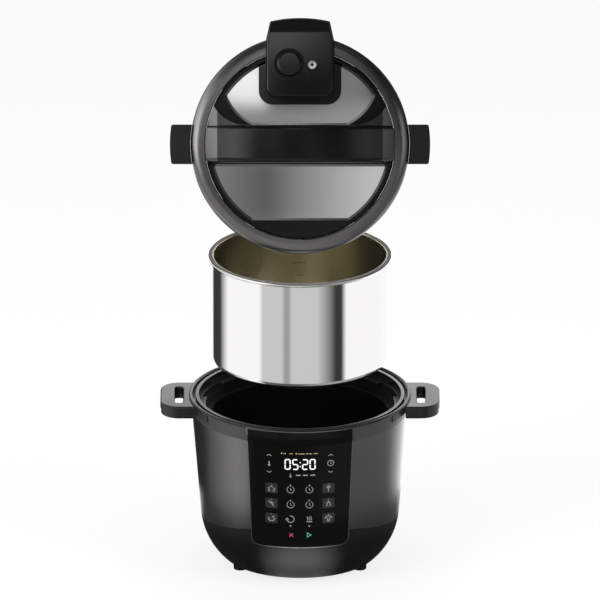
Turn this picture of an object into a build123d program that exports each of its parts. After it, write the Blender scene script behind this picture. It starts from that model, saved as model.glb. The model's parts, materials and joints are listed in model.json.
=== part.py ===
"""Electric pressure cooker: a base with its heating chamber, a steel inner pot and a twist-lock lid.

Every piece is drawn where it sits when the cooker is closed, so that fits come from shared
values. It is then written where the lifted-apart arrangement puts it: the pot raised above
the base, and the lid raised with it and swung up to face the front.
Millimetres, +Z up, control panel towards -Y, origin on the pot's axis at the foot plane.
"""

import math
import os

from build123d import *

# Running gaps
SEAT_GAP = 0.3           # between pieces that lift apart or slide
TRIM_GAP = 0.2           # around fixed trim, panels and covers
SCREW_GAP = 0.1          # between a screw's shank and its hole
RING_FIT = 0.15          # between the bayonet ring and the rim round it
EDGE_ROUND = 1.0         # small broken edges

# Inner pot
POT_R = 104.5            # outside of the wall
POT_WALL = 0.9
POT_H = 135.3            # underside of the base disc to underside of the rim
POT_HEEL = 9.0           # outside radius of the bottom corner
POT_RIM = 6.3            # reach of the rolled rim beyond the wall
POT_RIM_H = 3.8
RIM_ROUND = 1.8
POT_DISC_T = 2.0         # bonded base disc
POT_DISC_INSET = 4.0     # disc's edge inside the flat of the pot's floor
POT_CLEAR = 64.2         # raised pot's lift beyond its own height in the open arrangement

# Feet, floor and heater stack, from the table up
FOOT_H = 6.0
FOOT_R = 8.0
FOOT_X = 72.0
FOOT_Y = 44.0
HOUSING_WALL = 2.6
ELECTRONICS_H = 25.0     # outside of the housing floor to the underside of the chamber
CHAMBER_WALL = 1.2
CHAMBER_GAP = 2.5        # between the pot's wall and the chamber's wall
CHAMBER_HOLE_R = 40.0
CHAMBER_HEEL = 12.0      # outside radius of the chamber's bottom corner
SUPPORT_H = 6.0
SUPPORT_R = 5.0
SUPPORT_RING_R = 75.0
HEATER_T = 10.0
HEATER_INSET = 0.5       # heater's edge inside the flat of the pot's floor
ELEMENT_RING_R = 64.0
ELEMENT_R = 4.0

# Bayonet and rim
LUG_COUNT = 8
LUG_ANGLE = 20.0
LUG_REACH = 6.1
LUG_T = 1.5
LUG_PLAY = 0.8           # lid lugs' tips inside the bayonet ring
LUG_TIP_PLAY = 0.9       # base lugs' tips outside the lid's skirt
LUG_LIFT = 1.0           # lid lugs under the base lugs
BASE_LUG_T = 2.5
RING_WALL = 2.0
RING_H = 13.5
GUTTER_W = 7.5
LIP_W = 4.5
RIM_OVER_RING = 13.0     # rim top above the bayonet ring's top
RIM_LIP_H = 11.0
GUTTER_DEPTH = 9.0
RIM_INNER_WALL = 1.75
RIM_INNER_TOP = 4.0      # inner wall above the gutter's floor
RIM_INNER_DROP = 1.0     # inner wall's top below the rim's top
LIP_ROUND = 2.0
LIP_WALL = 2.0           # rim's lip inside the collar trim
RIM_CAP_H = 2.5          # rim's edge over the collar trim

# Outer body
BODY_STEP = 3.6          # rim lip beyond the body's top edge
COLLAR_H = 8.6           # collar below the rim's gutter
BODY_TAPER = 10.7        # loss of radius from the top edge to the heel
HEEL_TOP_Z = 60.0
SOLE_DRAW = 27.2         # loss of radius from the heel's top to the sole
BAND_T = 1.2
COLLAR_PROUD = 0.6
COLLAR_T = 3.0
COLLAR_MARGIN = 30.0     # collar's tall part stops this far short of the handles
SEAM_SIDE_Z = 57.0       # lowest point of the arched seam, at the sides
SEAM_ARC_R = 344.0

# Base handles
HANDLE_L = 34.3          # handles' reach beyond the rim
HANDLE_W = 87.0
HANDLE_CORNER = 23.0
HANDLE_DROP = 3.0        # handle top below the rim's top
HANDLE_T = 8.0
GRIP_T = 7.5
GRIP_INSET = 0.9
SLOT_OUT = 12.0          # slot's middle beyond the rim
SLOT_W = 10.0
SLOT_L = 54.0
SLOT_CORNER = 4.9
HANDLE_ROOT = 0.5        # handle's root inside the rim's lip

# Control panel on the front
PANEL_LOW_Z = 56.0
PANEL_LOW_HALF = 57.0
PANEL_TOP_HALF = 63.0
PANEL_CORNER = 9.6
PANEL_T = 2.4
PANEL_PROUD = 0.5
FRAME_W = 1.3
FRAME_PROUD = 0.8
HEADER_DROP = 2.5        # header top below the rim's top
BOARD_T = 1.6
BOARD_HALF = 38.0
BOARD_LOW_Z = 84.0
BOARD_HIGH_Z = 150.0
DISPLAY_HALF = 20.0
DISPLAY_LOW_Z = 124.0
DISPLAY_HIGH_Z = 142.0

# Underside and electrics
FLOOR_HOLE_R = 66.0
COVER_PLATE_R = 74.5
COVER_PLATE_T = 1.6
BOTTOM_SCREW_R = 70.2
POWER_BOARD_X = 90.0
POWER_BOARD_Y = 60.0
STANDOFF_H = 8.0
STANDOFF_R = 3.5
STANDOFF_EDGE = 6.0      # standoffs in from the board's edges
VENT_PITCH = 8.0
VENT_ROW_PITCH = 40.0
VENT_COUNT = 9
VENT_L = 24.0
VENT_W = 3.0
RELAY = (20.0, 16.0, 14.0)
SWITCH = (24.0, 18.0, 9.0)
SWITCH_Y = 58.0
FUSE_R = 3.5
FUSE_L = 22.0
FUSE_Y = -58.0
TERMINAL_X = 20.0
TERMINAL_Y = 24.0
TERMINAL_R = 3.0
TERMINAL_L = 18.0
INLET_X = 27.0
INLET_Z = 20.0
INLET_RISE = 4.5         # inlet above the housing's floor
INLET_INSET = 11.2       # inlet's face inside the heel's widest radius
INLET_DEPTH = 22.0
SOCKET_X = 24.0
SOCKET_Z = 16.0
SOCKET_DEPTH = 17.0
INLET_PIN = (2.0, 4.0, 14.0)
INLET_PIN_PITCH = 7.0
INLET_PIN_RISE = 2.0     # middle pin above, outer pins below the socket's middle

# Sprung temperature sensor in the heater's middle
SENSOR_R = 10.0
SENSOR_CAP_H = 6.2
SENSOR_STEM_R = 6.0
SENSOR_STEM_H = 8.0
SENSOR_GAP = 0.4
BRACKET_R = 16.0
BRACKET_T = 3.0
SPRING_WIRE_WALL = 1.6

# Screws
SCREW_R = 1.5
SCREW_HEAD_R = 3.0
SCREW_HEAD_H = 1.8
HANDLE_SCREW_OUT = 25.5  # handle screws beyond the rim
HANDLE_SCREW_Y = 20.0
HANDLE_SCREW_BITE = 5.0

# Lid: steel plate, seal and rack
SKIRT_GAP = 0.6
STEEL_T = 1.2
PLATE_UNDER_RIM = 2.0    # plate's top face below the base rim's top
SEAL_W = 5.6
SEAL_H = 11.0
SEAL_GROOVE = 2.5
RACK_WALL = 1.4
RACK_CLEAR = 5.0         # rack's foot above the pot's rim

# Lid: plastic top
LID_GAP = 1.5            # lid ring above the base rim
LID_RING_INSET = 3.5     # lid ring's edge inside the base rim's
LID_RING_H = 14.5
LID_RING_ROUND = 11.5
LID_RING_INNER_ROUND = 1.2
COVER_INSET = 0.1        # cover's edge inside the steel skirt's
COVER_H = 13.0
WINDOW_BORDER = 5.5      # cover's border outside the windows
WINDOW_TAPER = 12.0
FRONT_BORDER = 22.3      # cover left in front of the front window
STRIP_MARGIN = 1.4       # cover's strip in front of the bar above it
STRIP_T = 5.0
UPPER_WINDOW_INSET = 42.0  # rear window's straight edge, in from each end of the bar
UPPER_TIP_INSET = 17.3   # rear window's tips, in from its rim
UPPER_TIP_L = 35.6       # rear window's tips behind its straight edge
UPPER_BULGE = 5.0        # curve of the rear window's sides
UPPER_CORNER = 5.0
FIN_L = 24.5
FIN_W = 47.0
FIN_T = 9.0
FIN_ROUND = 2.5

# Lid handle
BAR_END_L = 14.5         # end pieces, from the seam to the cover's edge
BAR_FRONT_Y = -22.0
BAR_REAR_Y = 22.6
BAR_RISE = 50.0          # top of the bar above the cover
BAR_T = 20.0
BAR_END_RISE = 5.0       # arch's top above the cover where it meets the ring
BAR_ROUND = 6.0
FLARE_L = 35.0           # handle's ends widen over this length of the bar
FLARE_W = 23.4           # how far they reach behind the bar
FLARE_END_RISE = 1.0     # flare's top above the cover where it meets the ring
LID_SCREW_X = 60.0
LID_SCREW_Y = 12.0
LID_SCREW_BITE = 4.0

# Steam housing on the lid's rear
STEAM_HALF = 49.0        # foot inside the rear window
STEAM_CORNER = 17.0
STEAM_FRONT_L = 47.2     # foot's front edge ahead of the float valve
STEAM_SET_BACK = 7.5     # raised face's front edge behind the foot's
STEAM_FACE_HALF = 40.8
STEAM_FACE_CORNER = 13.0
STEAM_SHOULDER_L = 27.8  # stretch of the face that narrows, up to the rear edge
STEAM_REAR_HALF = 35.5
STEAM_REAR_BOW = 4.0     # curve of the rear edge
STEAM_REAR_ROUND = 2.5
STEAM_OVERHANG = 19.8    # rear edge beyond the lid ring
STEAM_BEVEL_L = 17.0     # slope that takes down the face's rear
STEAM_BEVEL_H = 9.5
STEAM_WALL = 3.0
STEAM_FLANGE_T = 4.7
STEAM_FACE_H = 16.0
STEAM_TAPER = 5.0
STEAM_INSET = 0.6
STEAM_FACE_ROUND = 1.6
STEAM_FLOOR_T = 2.0
STEAM_FOOT_WALL = 2.0
STEAM_LEDGE = 1.0        # base's pocket in from the face's walls
TILE = 14.0              # raised outline of a square on the face
TILE_LINE = 0.9
TILE_H = 0.3
TILE_X = 28.5
TILE_AHEAD = 14.4        # tile ahead of the float valve
BUTTON_X = -12.7
BUTTON_BEHIND = 1.8      # button behind the float valve
BUTTON_R = 15.0
BUTTON_GROOVE_W = 2.6
BUTTON_GROOVE_D = 1.5
BUTTON_GAP = 0.4
BUTTON_H = 9.4
BUTTON_PROUD = 2.6
BUTTON_ROUND = 3.5
BUTTON_DISH_R = 7.0
BUTTON_DISH_D = 1.0
STEM_R = 2.5
STEM_L = 17.0
BUTTON_SPRING_WALL = 1.2
FLOAT_APART = 12.1       # float valve's middle from the button's edge
FLOAT_INSET = 9.3        # float valve inside the seal's rack
FLOAT_HEAD_R = 5.4
FLOAT_HOLE_R = 1.9
FLOAT_BORE_GAP = 0.7
FLOAT_TRAVEL = 6.0
FLOAT_HEAD_L = 14.0
FLOAT_PIN_R = 2.4
FLOAT_CAP_R = 3.5
FLOAT_CAP_H = 4.0
FLOAT_SPARE = 1.0        # silicone cap below the plate when the float is up
GUIDE_R = 4.2
GUIDE_FLANGE_R = 6.0
GUIDE_H = 4.0
GUIDE_FLANGE_T = 1.5
PIPE_AHEAD = 24.0        # pipe ahead of the button
PIPE_R = 4.0
PIPE_BORE_R = 1.6
PIPE_H = 16.0            # above the plate
PIPE_TAIL = 7.0          # below the plate
NUT_R = 7.5
NUT_H = 3.6
WEIGHT_R = 8.0
WEIGHT_H = 13.0
WEIGHT_GAP = 0.35
WEIGHT_CROWN = 4.0
SHIELD_R = 12.0
SHIELD_H = 8.0
SHIELD_WALL = 1.0
SHIELD_SLOTS = 10

# Open arrangement of the lid
SWING_AHEAD = 49.5       # axis the lid is swung about, in front of the rim
SWING_ANGLE = 70.0

# Heights and radii that follow
CHAMBER_Z = FOOT_H + ELECTRONICS_H
CHAMBER_FLOOR_Z = CHAMBER_Z + CHAMBER_WALL
HEATER_Z = CHAMBER_FLOOR_Z + SUPPORT_H
HEATER_TOP_Z = HEATER_Z + HEATER_T
POT_Z = HEATER_TOP_Z + SEAT_GAP
POT_RIM_Z = POT_Z + POT_H
POT_TOP_Z = POT_RIM_Z + POT_RIM_H
FLANGE_Z = POT_RIM_Z - SEAT_GAP
RING_TOP_Z = FLANGE_Z + RING_H
BASE_LUG_Z = RING_TOP_Z - BASE_LUG_T
RIM_TOP_Z = RING_TOP_Z + RIM_OVER_RING
LIP_Z = RIM_TOP_Z - RIM_LIP_H
HANDLE_TOP_Z = RIM_TOP_Z - HANDLE_DROP
HANDLE_Z = HANDLE_TOP_Z - HANDLE_T
GRIP_Z = HANDLE_Z - GRIP_T
COLLAR_Z = LIP_Z - COLLAR_H - SEAT_GAP
CAP_Z = RIM_TOP_Z - RIM_CAP_H

RIM_REACH_R = POT_R + POT_RIM
CHAMBER_R = POT_R + CHAMBER_GAP
SKIRT_R = RIM_REACH_R + SKIRT_GAP
SKIRT_OUT_R = SKIRT_R + STEEL_T
LID_LUG_R = SKIRT_OUT_R + LUG_REACH
RING_R = LID_LUG_R + LUG_PLAY
BASE_LUG_R = SKIRT_OUT_R + LUG_TIP_PLAY
RING_OUT_R = RING_R + RING_WALL
LIP_IN_R = RING_OUT_R + GUTTER_W
LIP_OUT_R = LIP_IN_R + LIP_WALL
RIM_R = LIP_IN_R + LIP_W
BODY_TOP_R = RIM_R - BODY_STEP
HEEL_R = BODY_TOP_R - BODY_TAPER
SOLE_R = HEEL_R - SOLE_DRAW
HEATER_R = POT_R - POT_HEEL - HEATER_INSET
HANDLE_REACH = RIM_R + HANDLE_L
COLLAR_END_Y = HANDLE_W / 2 + COLLAR_MARGIN
SLOT_X = RIM_R + SLOT_OUT
HANDLE_SCREW_X = RIM_R + HANDLE_SCREW_OUT
INLET_FACE_Y = HEEL_R - INLET_INSET
INLET_LOW_Z = FOOT_H + INLET_RISE
LID_RING_R = RIM_R - LID_RING_INSET
FIN_R = LID_RING_R + FIN_L
COVER_R = SKIRT_OUT_R - COVER_INSET
WINDOW_R = COVER_R - WINDOW_BORDER
SEAL_IN_R = RIM_REACH_R - SEAL_W
RACK_OUT_R = SEAL_IN_R - SEAT_GAP
RACK_IN_R = RACK_OUT_R - RACK_WALL

HEADER_TOP_Z = RIM_TOP_Z - HEADER_DROP
FRONT_TOP_Z = HEADER_TOP_Z + FRAME_W + TRIM_GAP
LID_PLATE_Z = RIM_TOP_Z - PLATE_UNDER_RIM
LID_UNDER_Z = LID_PLATE_Z - STEEL_T
LID_LUG_Z = BASE_LUG_Z - LUG_LIFT - LUG_T
LID_RING_Z = RIM_TOP_Z + LID_GAP
LID_RING_TOP_Z = LID_RING_Z + LID_RING_H
LID_RING_IN_R = COVER_R + SEAT_GAP
COVER_TOP_Z = LID_PLATE_Z + COVER_H
STRIP_Z = LID_PLATE_Z + STRIP_T
STEAM_FLANGE_Z = LID_RING_TOP_Z + SEAT_GAP
STEAM_SEAM_Z = STEAM_FLANGE_Z + STEAM_FLANGE_T
STEAM_FACE_Z = STEAM_SEAM_Z + STEAM_FACE_H
SWING_Z = RING_TOP_Z

# Plan of the lid's top that follows
WINDOW_FRONT_Y = FRONT_BORDER - COVER_R
STRIP_FRONT_Y = BAR_FRONT_Y - STRIP_MARGIN
STRIP_REAR_Y = BAR_REAR_Y
BAR_HALF = COVER_R - BAR_END_L
FLARE_X = BAR_HALF - FLARE_L
FLARE_REAR_Y = BAR_REAR_Y + FLARE_W
FLARE_TIP_X = math.sqrt(COVER_R**2 - FLARE_REAR_Y**2)
UPPER_WINDOW_HALF = BAR_HALF - UPPER_WINDOW_INSET
UPPER_TIP_X = WINDOW_R - UPPER_TIP_INSET
UPPER_TIP_Y = STRIP_REAR_Y + UPPER_TIP_L
UPPER_RUN = UPPER_TIP_X - UPPER_WINDOW_HALF
UPPER_SIDE = math.hypot(UPPER_RUN, UPPER_TIP_L)
UPPER_BULGE_X = UPPER_TIP_X - UPPER_RUN / 2 + UPPER_BULGE * UPPER_TIP_L / UPPER_SIDE
UPPER_BULGE_Y = UPPER_TIP_Y - UPPER_TIP_L / 2 - UPPER_BULGE * UPPER_RUN / UPPER_SIDE
FLOAT_X = BUTTON_X + BUTTON_R + FLOAT_APART
FLOAT_Y = RACK_IN_R - FLOAT_INSET
BUTTON_Y = FLOAT_Y + BUTTON_BEHIND
BUTTON_GROOVE_R = BUTTON_R + BUTTON_GROOVE_W
PIPE_X = BUTTON_X
PIPE_Y = BUTTON_Y - PIPE_AHEAD
TILE_Y = FLOAT_Y - TILE_AHEAD
STEAM_FRONT_Y = FLOAT_Y - STEAM_FRONT_L
STEAM_REAR_Y = LID_RING_R + STEAM_OVERHANG
STEAM_REAR_END_Y = STEAM_REAR_Y - STEAM_REAR_BOW
STEAM_SHOULDER_Y = STEAM_REAR_Y - STEAM_SHOULDER_L
STEAM_BEVEL_Y = STEAM_REAR_Y - STEAM_BEVEL_L
STEAM_FACE_FRONT_Y = STEAM_FRONT_Y + STEAM_SET_BACK

# Open arrangement that follows
POT_LIFT = POT_H + POT_CLEAR
SWING_Y = -RIM_R - SWING_AHEAD

FAR = 400.0              # longer than any piece, for cuts that go right through

AT_HOME = Pos(0, 0, 0)
POT_UP = Pos(0, 0, POT_LIFT)
LID_OPEN = Pos(0, SWING_Y, SWING_Z + POT_LIFT) * Rot(SWING_ANGLE, 0, 0) * Pos(0, -SWING_Y, -SWING_Z)

os.makedirs("parts", exist_ok=True)


def write(block, name, pose=AT_HOME):
    """Labels a finished piece and writes it where the open arrangement puts it."""
    piece = block.part.moved(pose)
    piece.label = name
    export_step(piece, f"parts/{name}.step")


def front_solid(inset):
    """Solid inside the body's outer surface, up to the header's top, drawn in by an inset."""
    with BuildPart() as solid:
        with BuildSketch(Plane.XZ):
            with BuildLine():
                wall = Line((BODY_TOP_R - inset, COLLAR_Z), (HEEL_R - inset, HEEL_TOP_Z))
                heel = TangentArc(wall @ 1, (SOLE_R - inset, FOOT_H + inset), tangent=wall % 1)
                Polyline(
                    heel @ 1,
                    (0, FOOT_H + inset),
                    (0, FRONT_TOP_Z),
                    (RIM_R - inset, FRONT_TOP_Z),
                    (RIM_R - inset, LIP_Z),
                    wall @ 0,
                )
            make_face()
        revolve()
    return solid.part


def wall_radius(height):
    """Outer radius of the conical wall at a height."""
    return HEEL_R + BODY_TAPER * (height - HEEL_TOP_Z) / (COLLAR_Z - HEEL_TOP_Z)


def panel_half(height):
    """Half the panel's width at a height."""
    share = (height - PANEL_LOW_Z) / (HEADER_TOP_Z - PANEL_LOW_Z)
    return PANEL_LOW_HALF + (PANEL_TOP_HALF - PANEL_LOW_HALF) * share


def panel_prism(low_z, high_z, margin, rounded):
    """Prism through the front, of the panel's outline grown by a margin."""
    low_half = panel_half(low_z) + margin
    high_half = panel_half(high_z) + margin
    low = low_z - margin
    high = high_z + margin
    with BuildPart() as prism:
        with BuildSketch(Plane.XZ) as outline:
            Polygon((-low_half, low), (low_half, low), (high_half, high), (-high_half, high), align=None)
            if rounded:
                fillet(outline.vertices().group_by(Axis.Y)[0], PANEL_CORNER + margin)
        extrude(amount=FAR)
    return prism.part


PANEL_OPENING = panel_prism(PANEL_LOW_Z, HEADER_TOP_Z, FRAME_W + TRIM_GAP, True)


# Base: lower housing, with the arched seam along its top edge
with BuildPart() as lower_housing:
    add(front_solid(0))
    add(front_solid(HOUSING_WALL), mode=Mode.SUBTRACT)
    with BuildSketch(Plane.YZ):
        with Locations((0, SEAM_SIDE_Z + SEAM_ARC_R)):
            Circle(SEAM_ARC_R)
    extrude(amount=FAR, both=True, mode=Mode.SUBTRACT)
    add(PANEL_OPENING, mode=Mode.SUBTRACT)
    with BuildSketch(Plane.XY.offset(FOOT_H)):
        Circle(FLOOR_HOLE_R)
        with PolarLocations(BOTTOM_SCREW_R, 4, start_angle=45):
            Circle(SCREW_R + SCREW_GAP)
    extrude(amount=HOUSING_WALL, mode=Mode.SUBTRACT)
    with BuildSketch(Plane.XZ.offset(-FAR)):
        with Locations((0, INLET_LOW_Z + INLET_Z / 2)):
            Rectangle(INLET_X + 2 * TRIM_GAP, INLET_Z + 2 * TRIM_GAP)
    extrude(amount=FAR, mode=Mode.SUBTRACT)
write(lower_housing, "lower_housing")

# Base: black steel band wrapped round the body
with BuildPart() as outer_band:
    add(front_solid(0))
    add(front_solid(BAND_T), mode=Mode.SUBTRACT)
    with BuildSketch(Plane.YZ):
        with Locations((0, SEAM_SIDE_Z + SEAM_ARC_R)):
            Circle(SEAM_ARC_R - SEAT_GAP)
    extrude(amount=FAR, both=True, mode=Mode.INTERSECT)
    split(bisect_by=Plane.XY.offset(COLLAR_Z), keep=Keep.BOTTOM)
    add(PANEL_OPENING, mode=Mode.SUBTRACT)
write(outer_band, "outer_band")

# Base: collar trim from the band up to the rim's edge, low where it passes under the handles
COLLAR_LOW_R = BODY_TOP_R + COLLAR_PROUD
COLLAR_HIGH_R = RIM_R - COLLAR_PROUD
with BuildPart() as collar_band:
    with BuildSketch(Plane.XZ):
        Polygon(
            (COLLAR_LOW_R - COLLAR_T, COLLAR_Z + SEAT_GAP),
            (COLLAR_LOW_R, COLLAR_Z + SEAT_GAP),
            (COLLAR_HIGH_R, CAP_Z - TRIM_GAP),
            (LIP_OUT_R + TRIM_GAP, CAP_Z - TRIM_GAP),
            (LIP_OUT_R + TRIM_GAP, LIP_Z - TRIM_GAP),
            (COLLAR_LOW_R - COLLAR_T, LIP_Z - TRIM_GAP),
            align=None,
        )
    revolve()
    with BuildSketch(Plane.XY.offset(LIP_Z - TRIM_GAP)):
        Rectangle(2 * FAR, 2 * (COLLAR_END_Y + TRIM_GAP))
    extrude(amount=FAR, mode=Mode.SUBTRACT)
    add(PANEL_OPENING, mode=Mode.SUBTRACT)
write(collar_band, "collar_band")


def handle_ears(inner_r, inset, low_z, height):
    """Both handles, seen from above as the ends of one rounded bar with a slot in each."""
    with BuildPart() as ears:
        with BuildSketch(Plane.XY.offset(low_z)):
            RectangleRounded(2 * (HANDLE_REACH - inset), HANDLE_W - 2 * inset, HANDLE_CORNER - inset)
            Circle(inner_r, mode=Mode.SUBTRACT)
            with Locations((SLOT_X, 0), (-SLOT_X, 0)):
                RectangleRounded(
                    SLOT_W + 2 * inset, SLOT_L + 2 * inset, SLOT_CORNER + inset, mode=Mode.SUBTRACT
                )
        extrude(amount=height)
    return ears


HANDLE_SCREWS = [
    (side * HANDLE_SCREW_X, end * HANDLE_SCREW_Y) for side in (1, -1) for end in (1, -1)
]

# Base: rim with its gutter, pockets for header and collar, and the upper halves of the carrying handles
with BuildPart() as header_pocket:
    add(front_solid(-LIP_W))
    add(front_solid(PANEL_T + SEAT_GAP), mode=Mode.SUBTRACT)
    add(PANEL_OPENING, mode=Mode.INTERSECT)
with BuildPart() as collar_pocket:
    with BuildSketch(Plane.XY.offset(LIP_Z)):
        Circle(FAR)
        Circle(LIP_OUT_R, mode=Mode.SUBTRACT)
        Rectangle(2 * FAR, 2 * COLLAR_END_Y, mode=Mode.SUBTRACT)
    extrude(amount=CAP_Z - LIP_Z)
with BuildPart() as handle_tops:
    add(handle_ears(LIP_IN_R + HANDLE_ROOT, 0, HANDLE_Z, HANDLE_T).part)
    fillet(handle_tops.edges().group_by(Axis.Z)[-1], LIP_ROUND)
with BuildPart() as rim_housing:
    with BuildSketch(Plane.XZ) as rim_section:
        Polygon(
            (RING_OUT_R + RING_FIT, FLANGE_Z + LUG_T),
            (RING_OUT_R + RIM_INNER_WALL, FLANGE_Z + LUG_T),
            (RING_OUT_R + RIM_INNER_WALL, LIP_Z),
            (RIM_R, LIP_Z),
            (RIM_R, RIM_TOP_Z),
            (LIP_IN_R, RIM_TOP_Z),
            (LIP_IN_R, RIM_TOP_Z - GUTTER_DEPTH),
            (RING_OUT_R + RIM_INNER_TOP, RIM_TOP_Z - GUTTER_DEPTH),
            (RING_OUT_R + RIM_INNER_TOP, RIM_TOP_Z - RIM_INNER_DROP),
            (RING_OUT_R + RING_FIT, RIM_TOP_Z - RIM_INNER_DROP),
            align=None,
        )
        fillet(rim_section.vertices().group_by(Axis.Y)[-1], LIP_ROUND)
    revolve()
    add(handle_tops.part)
    with BuildSketch(Plane.XY.offset(HANDLE_Z)):
        with Locations(*HANDLE_SCREWS):
            Circle(SCREW_R + SCREW_GAP)
    extrude(amount=HANDLE_SCREW_BITE + SEAT_GAP, mode=Mode.SUBTRACT)
    add(header_pocket.part, mode=Mode.SUBTRACT)
    add(collar_pocket.part, mode=Mode.SUBTRACT)
write(rim_housing, "rim_housing")

# Base: lower halves of the handles, screwed on from below
grip_shells = handle_ears(RIM_R + SEAT_GAP, GRIP_INSET, GRIP_Z, GRIP_T)
grip_sides = grip_shells.part.solids().sort_by(Axis.X)
for name, grip_side in zip(("left_handle_grip", "right_handle_grip"), grip_sides):
    with BuildPart() as handle_grip:
        add(grip_side)
        fillet(handle_grip.edges().group_by(Axis.Z)[0], LIP_ROUND)
        with BuildSketch(Plane.XY.offset(GRIP_Z)):
            with Locations(*HANDLE_SCREWS):
                Circle(SCREW_R + SCREW_GAP)
        extrude(amount=GRIP_T, mode=Mode.SUBTRACT)
    write(handle_grip, name)


def screws(places, seat, shank_length):
    """A group of pan-head screws, heads below a seat and shanks pointing up from it."""
    with BuildPart() as group:
        with BuildSketch(Plane.XY.offset(seat - SCREW_HEAD_H)):
            with Locations(*places):
                Circle(SCREW_HEAD_R)
        extrude(amount=SCREW_HEAD_H)
        fillet(group.edges().group_by(Axis.Z)[0], SCREW_HEAD_H / 3)
        with BuildSketch(Plane.XY.offset(seat)):
            with Locations(*places):
                Circle(SCREW_R)
        extrude(amount=shank_length)
    return group


handle_screws = screws(HANDLE_SCREWS, GRIP_Z, GRIP_T + HANDLE_SCREW_BITE)
write(handle_screws, "handle_screws")

# Base: bayonet ring, its lugs pointing in
with BuildPart() as bayonet_ring:
    with BuildSketch(Plane.XY.offset(FLANGE_Z)):
        Circle(RING_OUT_R)
        Circle(RING_R, mode=Mode.SUBTRACT)
    extrude(amount=RING_H)
    with BuildSketch(Plane.XY.offset(BASE_LUG_Z)):
        with PolarLocations(0, LUG_COUNT):
            half_lug = math.radians(LUG_ANGLE / 2)
            Polygon(
                (0, 0),
                (FAR * math.cos(half_lug), -FAR * math.sin(half_lug)),
                (FAR * math.cos(half_lug), FAR * math.sin(half_lug)),
                align=None,
            )
        Circle(RING_OUT_R, mode=Mode.INTERSECT)
        Circle(BASE_LUG_R, mode=Mode.SUBTRACT)
    extrude(amount=BASE_LUG_T)
write(bayonet_ring, "bayonet_ring")

# Base: heating chamber, whose top flange carries the pot's rim
with BuildPart() as inner_housing:
    with BuildSketch(Plane.XZ) as chamber_section:
        Polygon(
            (CHAMBER_HOLE_R, CHAMBER_Z),
            (CHAMBER_R + CHAMBER_WALL, CHAMBER_Z),
            (CHAMBER_R + CHAMBER_WALL, FLANGE_Z - CHAMBER_WALL),
            (RING_OUT_R, FLANGE_Z - CHAMBER_WALL),
            (RING_OUT_R, FLANGE_Z),
            (CHAMBER_R, FLANGE_Z),
            (CHAMBER_R, CHAMBER_FLOOR_Z),
            (CHAMBER_HOLE_R, CHAMBER_FLOOR_Z),
            align=None,
        )
        outer_corner = chamber_section.vertices().group_by(Axis.Y)[0].sort_by(Axis.X)[-1]
        fillet(outer_corner, CHAMBER_HEEL)
        inner_corner = chamber_section.vertices().group_by(Axis.Y)[1].sort_by(Axis.X)[-1]
        fillet(inner_corner, CHAMBER_HEEL - CHAMBER_WALL)
    revolve()
write(inner_housing, "inner_housing")

# Base: heater, with the tubular element cast into its underside
with BuildPart() as heating_plate:
    with BuildSketch(Plane.XZ) as heater_section:
        Polygon(
            (SENSOR_R + SENSOR_GAP, HEATER_Z),
            (HEATER_R, HEATER_Z),
            (HEATER_R, HEATER_TOP_Z),
            (SENSOR_R + SENSOR_GAP, HEATER_TOP_Z),
            align=None,
        )
        fillet(heater_section.vertices().group_by(Axis.Y)[-1].sort_by(Axis.X)[-1], LIP_ROUND)
        with Locations((ELEMENT_RING_R, HEATER_Z)):
            Circle(ELEMENT_R)
    revolve()
write(heating_plate, "heating_plate")

with BuildPart() as heater_supports:
    with BuildSketch(Plane.XY.offset(CHAMBER_FLOOR_Z)):
        with PolarLocations(SUPPORT_RING_R, 3, start_angle=90):
            Circle(SUPPORT_R)
    extrude(amount=SUPPORT_H)
write(heater_supports, "heater_supports")

with BuildPart() as element_terminals:
    with BuildSketch(Plane.XY.offset(HEATER_Z)):
        with Locations((TERMINAL_X, TERMINAL_Y), (-TERMINAL_X, TERMINAL_Y)):
            Circle(TERMINAL_R)
    extrude(amount=-TERMINAL_L)
write(element_terminals, "element_terminals")

# Base: sprung temperature sensor, its spring and the bracket that holds them under the heater
SENSOR_CAP_Z = HEATER_TOP_Z - SENSOR_CAP_H
with BuildPart() as temperature_sensor:
    with BuildSketch(Plane.XY.offset(SENSOR_CAP_Z)):
        Circle(SENSOR_R)
    extrude(amount=SENSOR_CAP_H)
    fillet(temperature_sensor.edges().group_by(Axis.Z)[-1], EDGE_ROUND)
    with BuildSketch(Plane.XY.offset(SENSOR_CAP_Z)):
        Circle(SENSOR_STEM_R)
    extrude(amount=-SENSOR_STEM_H)
write(temperature_sensor, "temperature_sensor")

with BuildPart() as sensor_spring:
    with BuildSketch(Plane.XY.offset(HEATER_Z)):
        Circle(SENSOR_STEM_R + SENSOR_GAP + SPRING_WIRE_WALL)
        Circle(SENSOR_STEM_R + SENSOR_GAP, mode=Mode.SUBTRACT)
    extrude(amount=SENSOR_CAP_Z - HEATER_Z)
write(sensor_spring, "sensor_spring")

with BuildPart() as sensor_bracket:
    with BuildSketch(Plane.XY.offset(HEATER_Z)):
        Circle(BRACKET_R)
        Circle(SENSOR_STEM_R + SENSOR_GAP, mode=Mode.SUBTRACT)
    extrude(amount=-BRACKET_T)
write(sensor_bracket, "sensor_bracket")

# Base: pressure switch and thermal fuse under the chamber's floor
with BuildPart() as pressure_switch:
    with BuildSketch(Plane.XY.offset(CHAMBER_Z)):
        with Locations((0, SWITCH_Y)):
            RectangleRounded(SWITCH[0], SWITCH[1], LIP_ROUND)
    extrude(amount=-SWITCH[2])
write(pressure_switch, "pressure_switch")

with BuildPart() as thermal_fuse:
    with BuildSketch(Plane.YZ):
        with Locations((FUSE_Y, CHAMBER_Z - FUSE_R - TRIM_GAP)):
            Circle(FUSE_R)
    extrude(amount=FUSE_L / 2, both=True)
write(thermal_fuse, "thermal_fuse")

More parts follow.
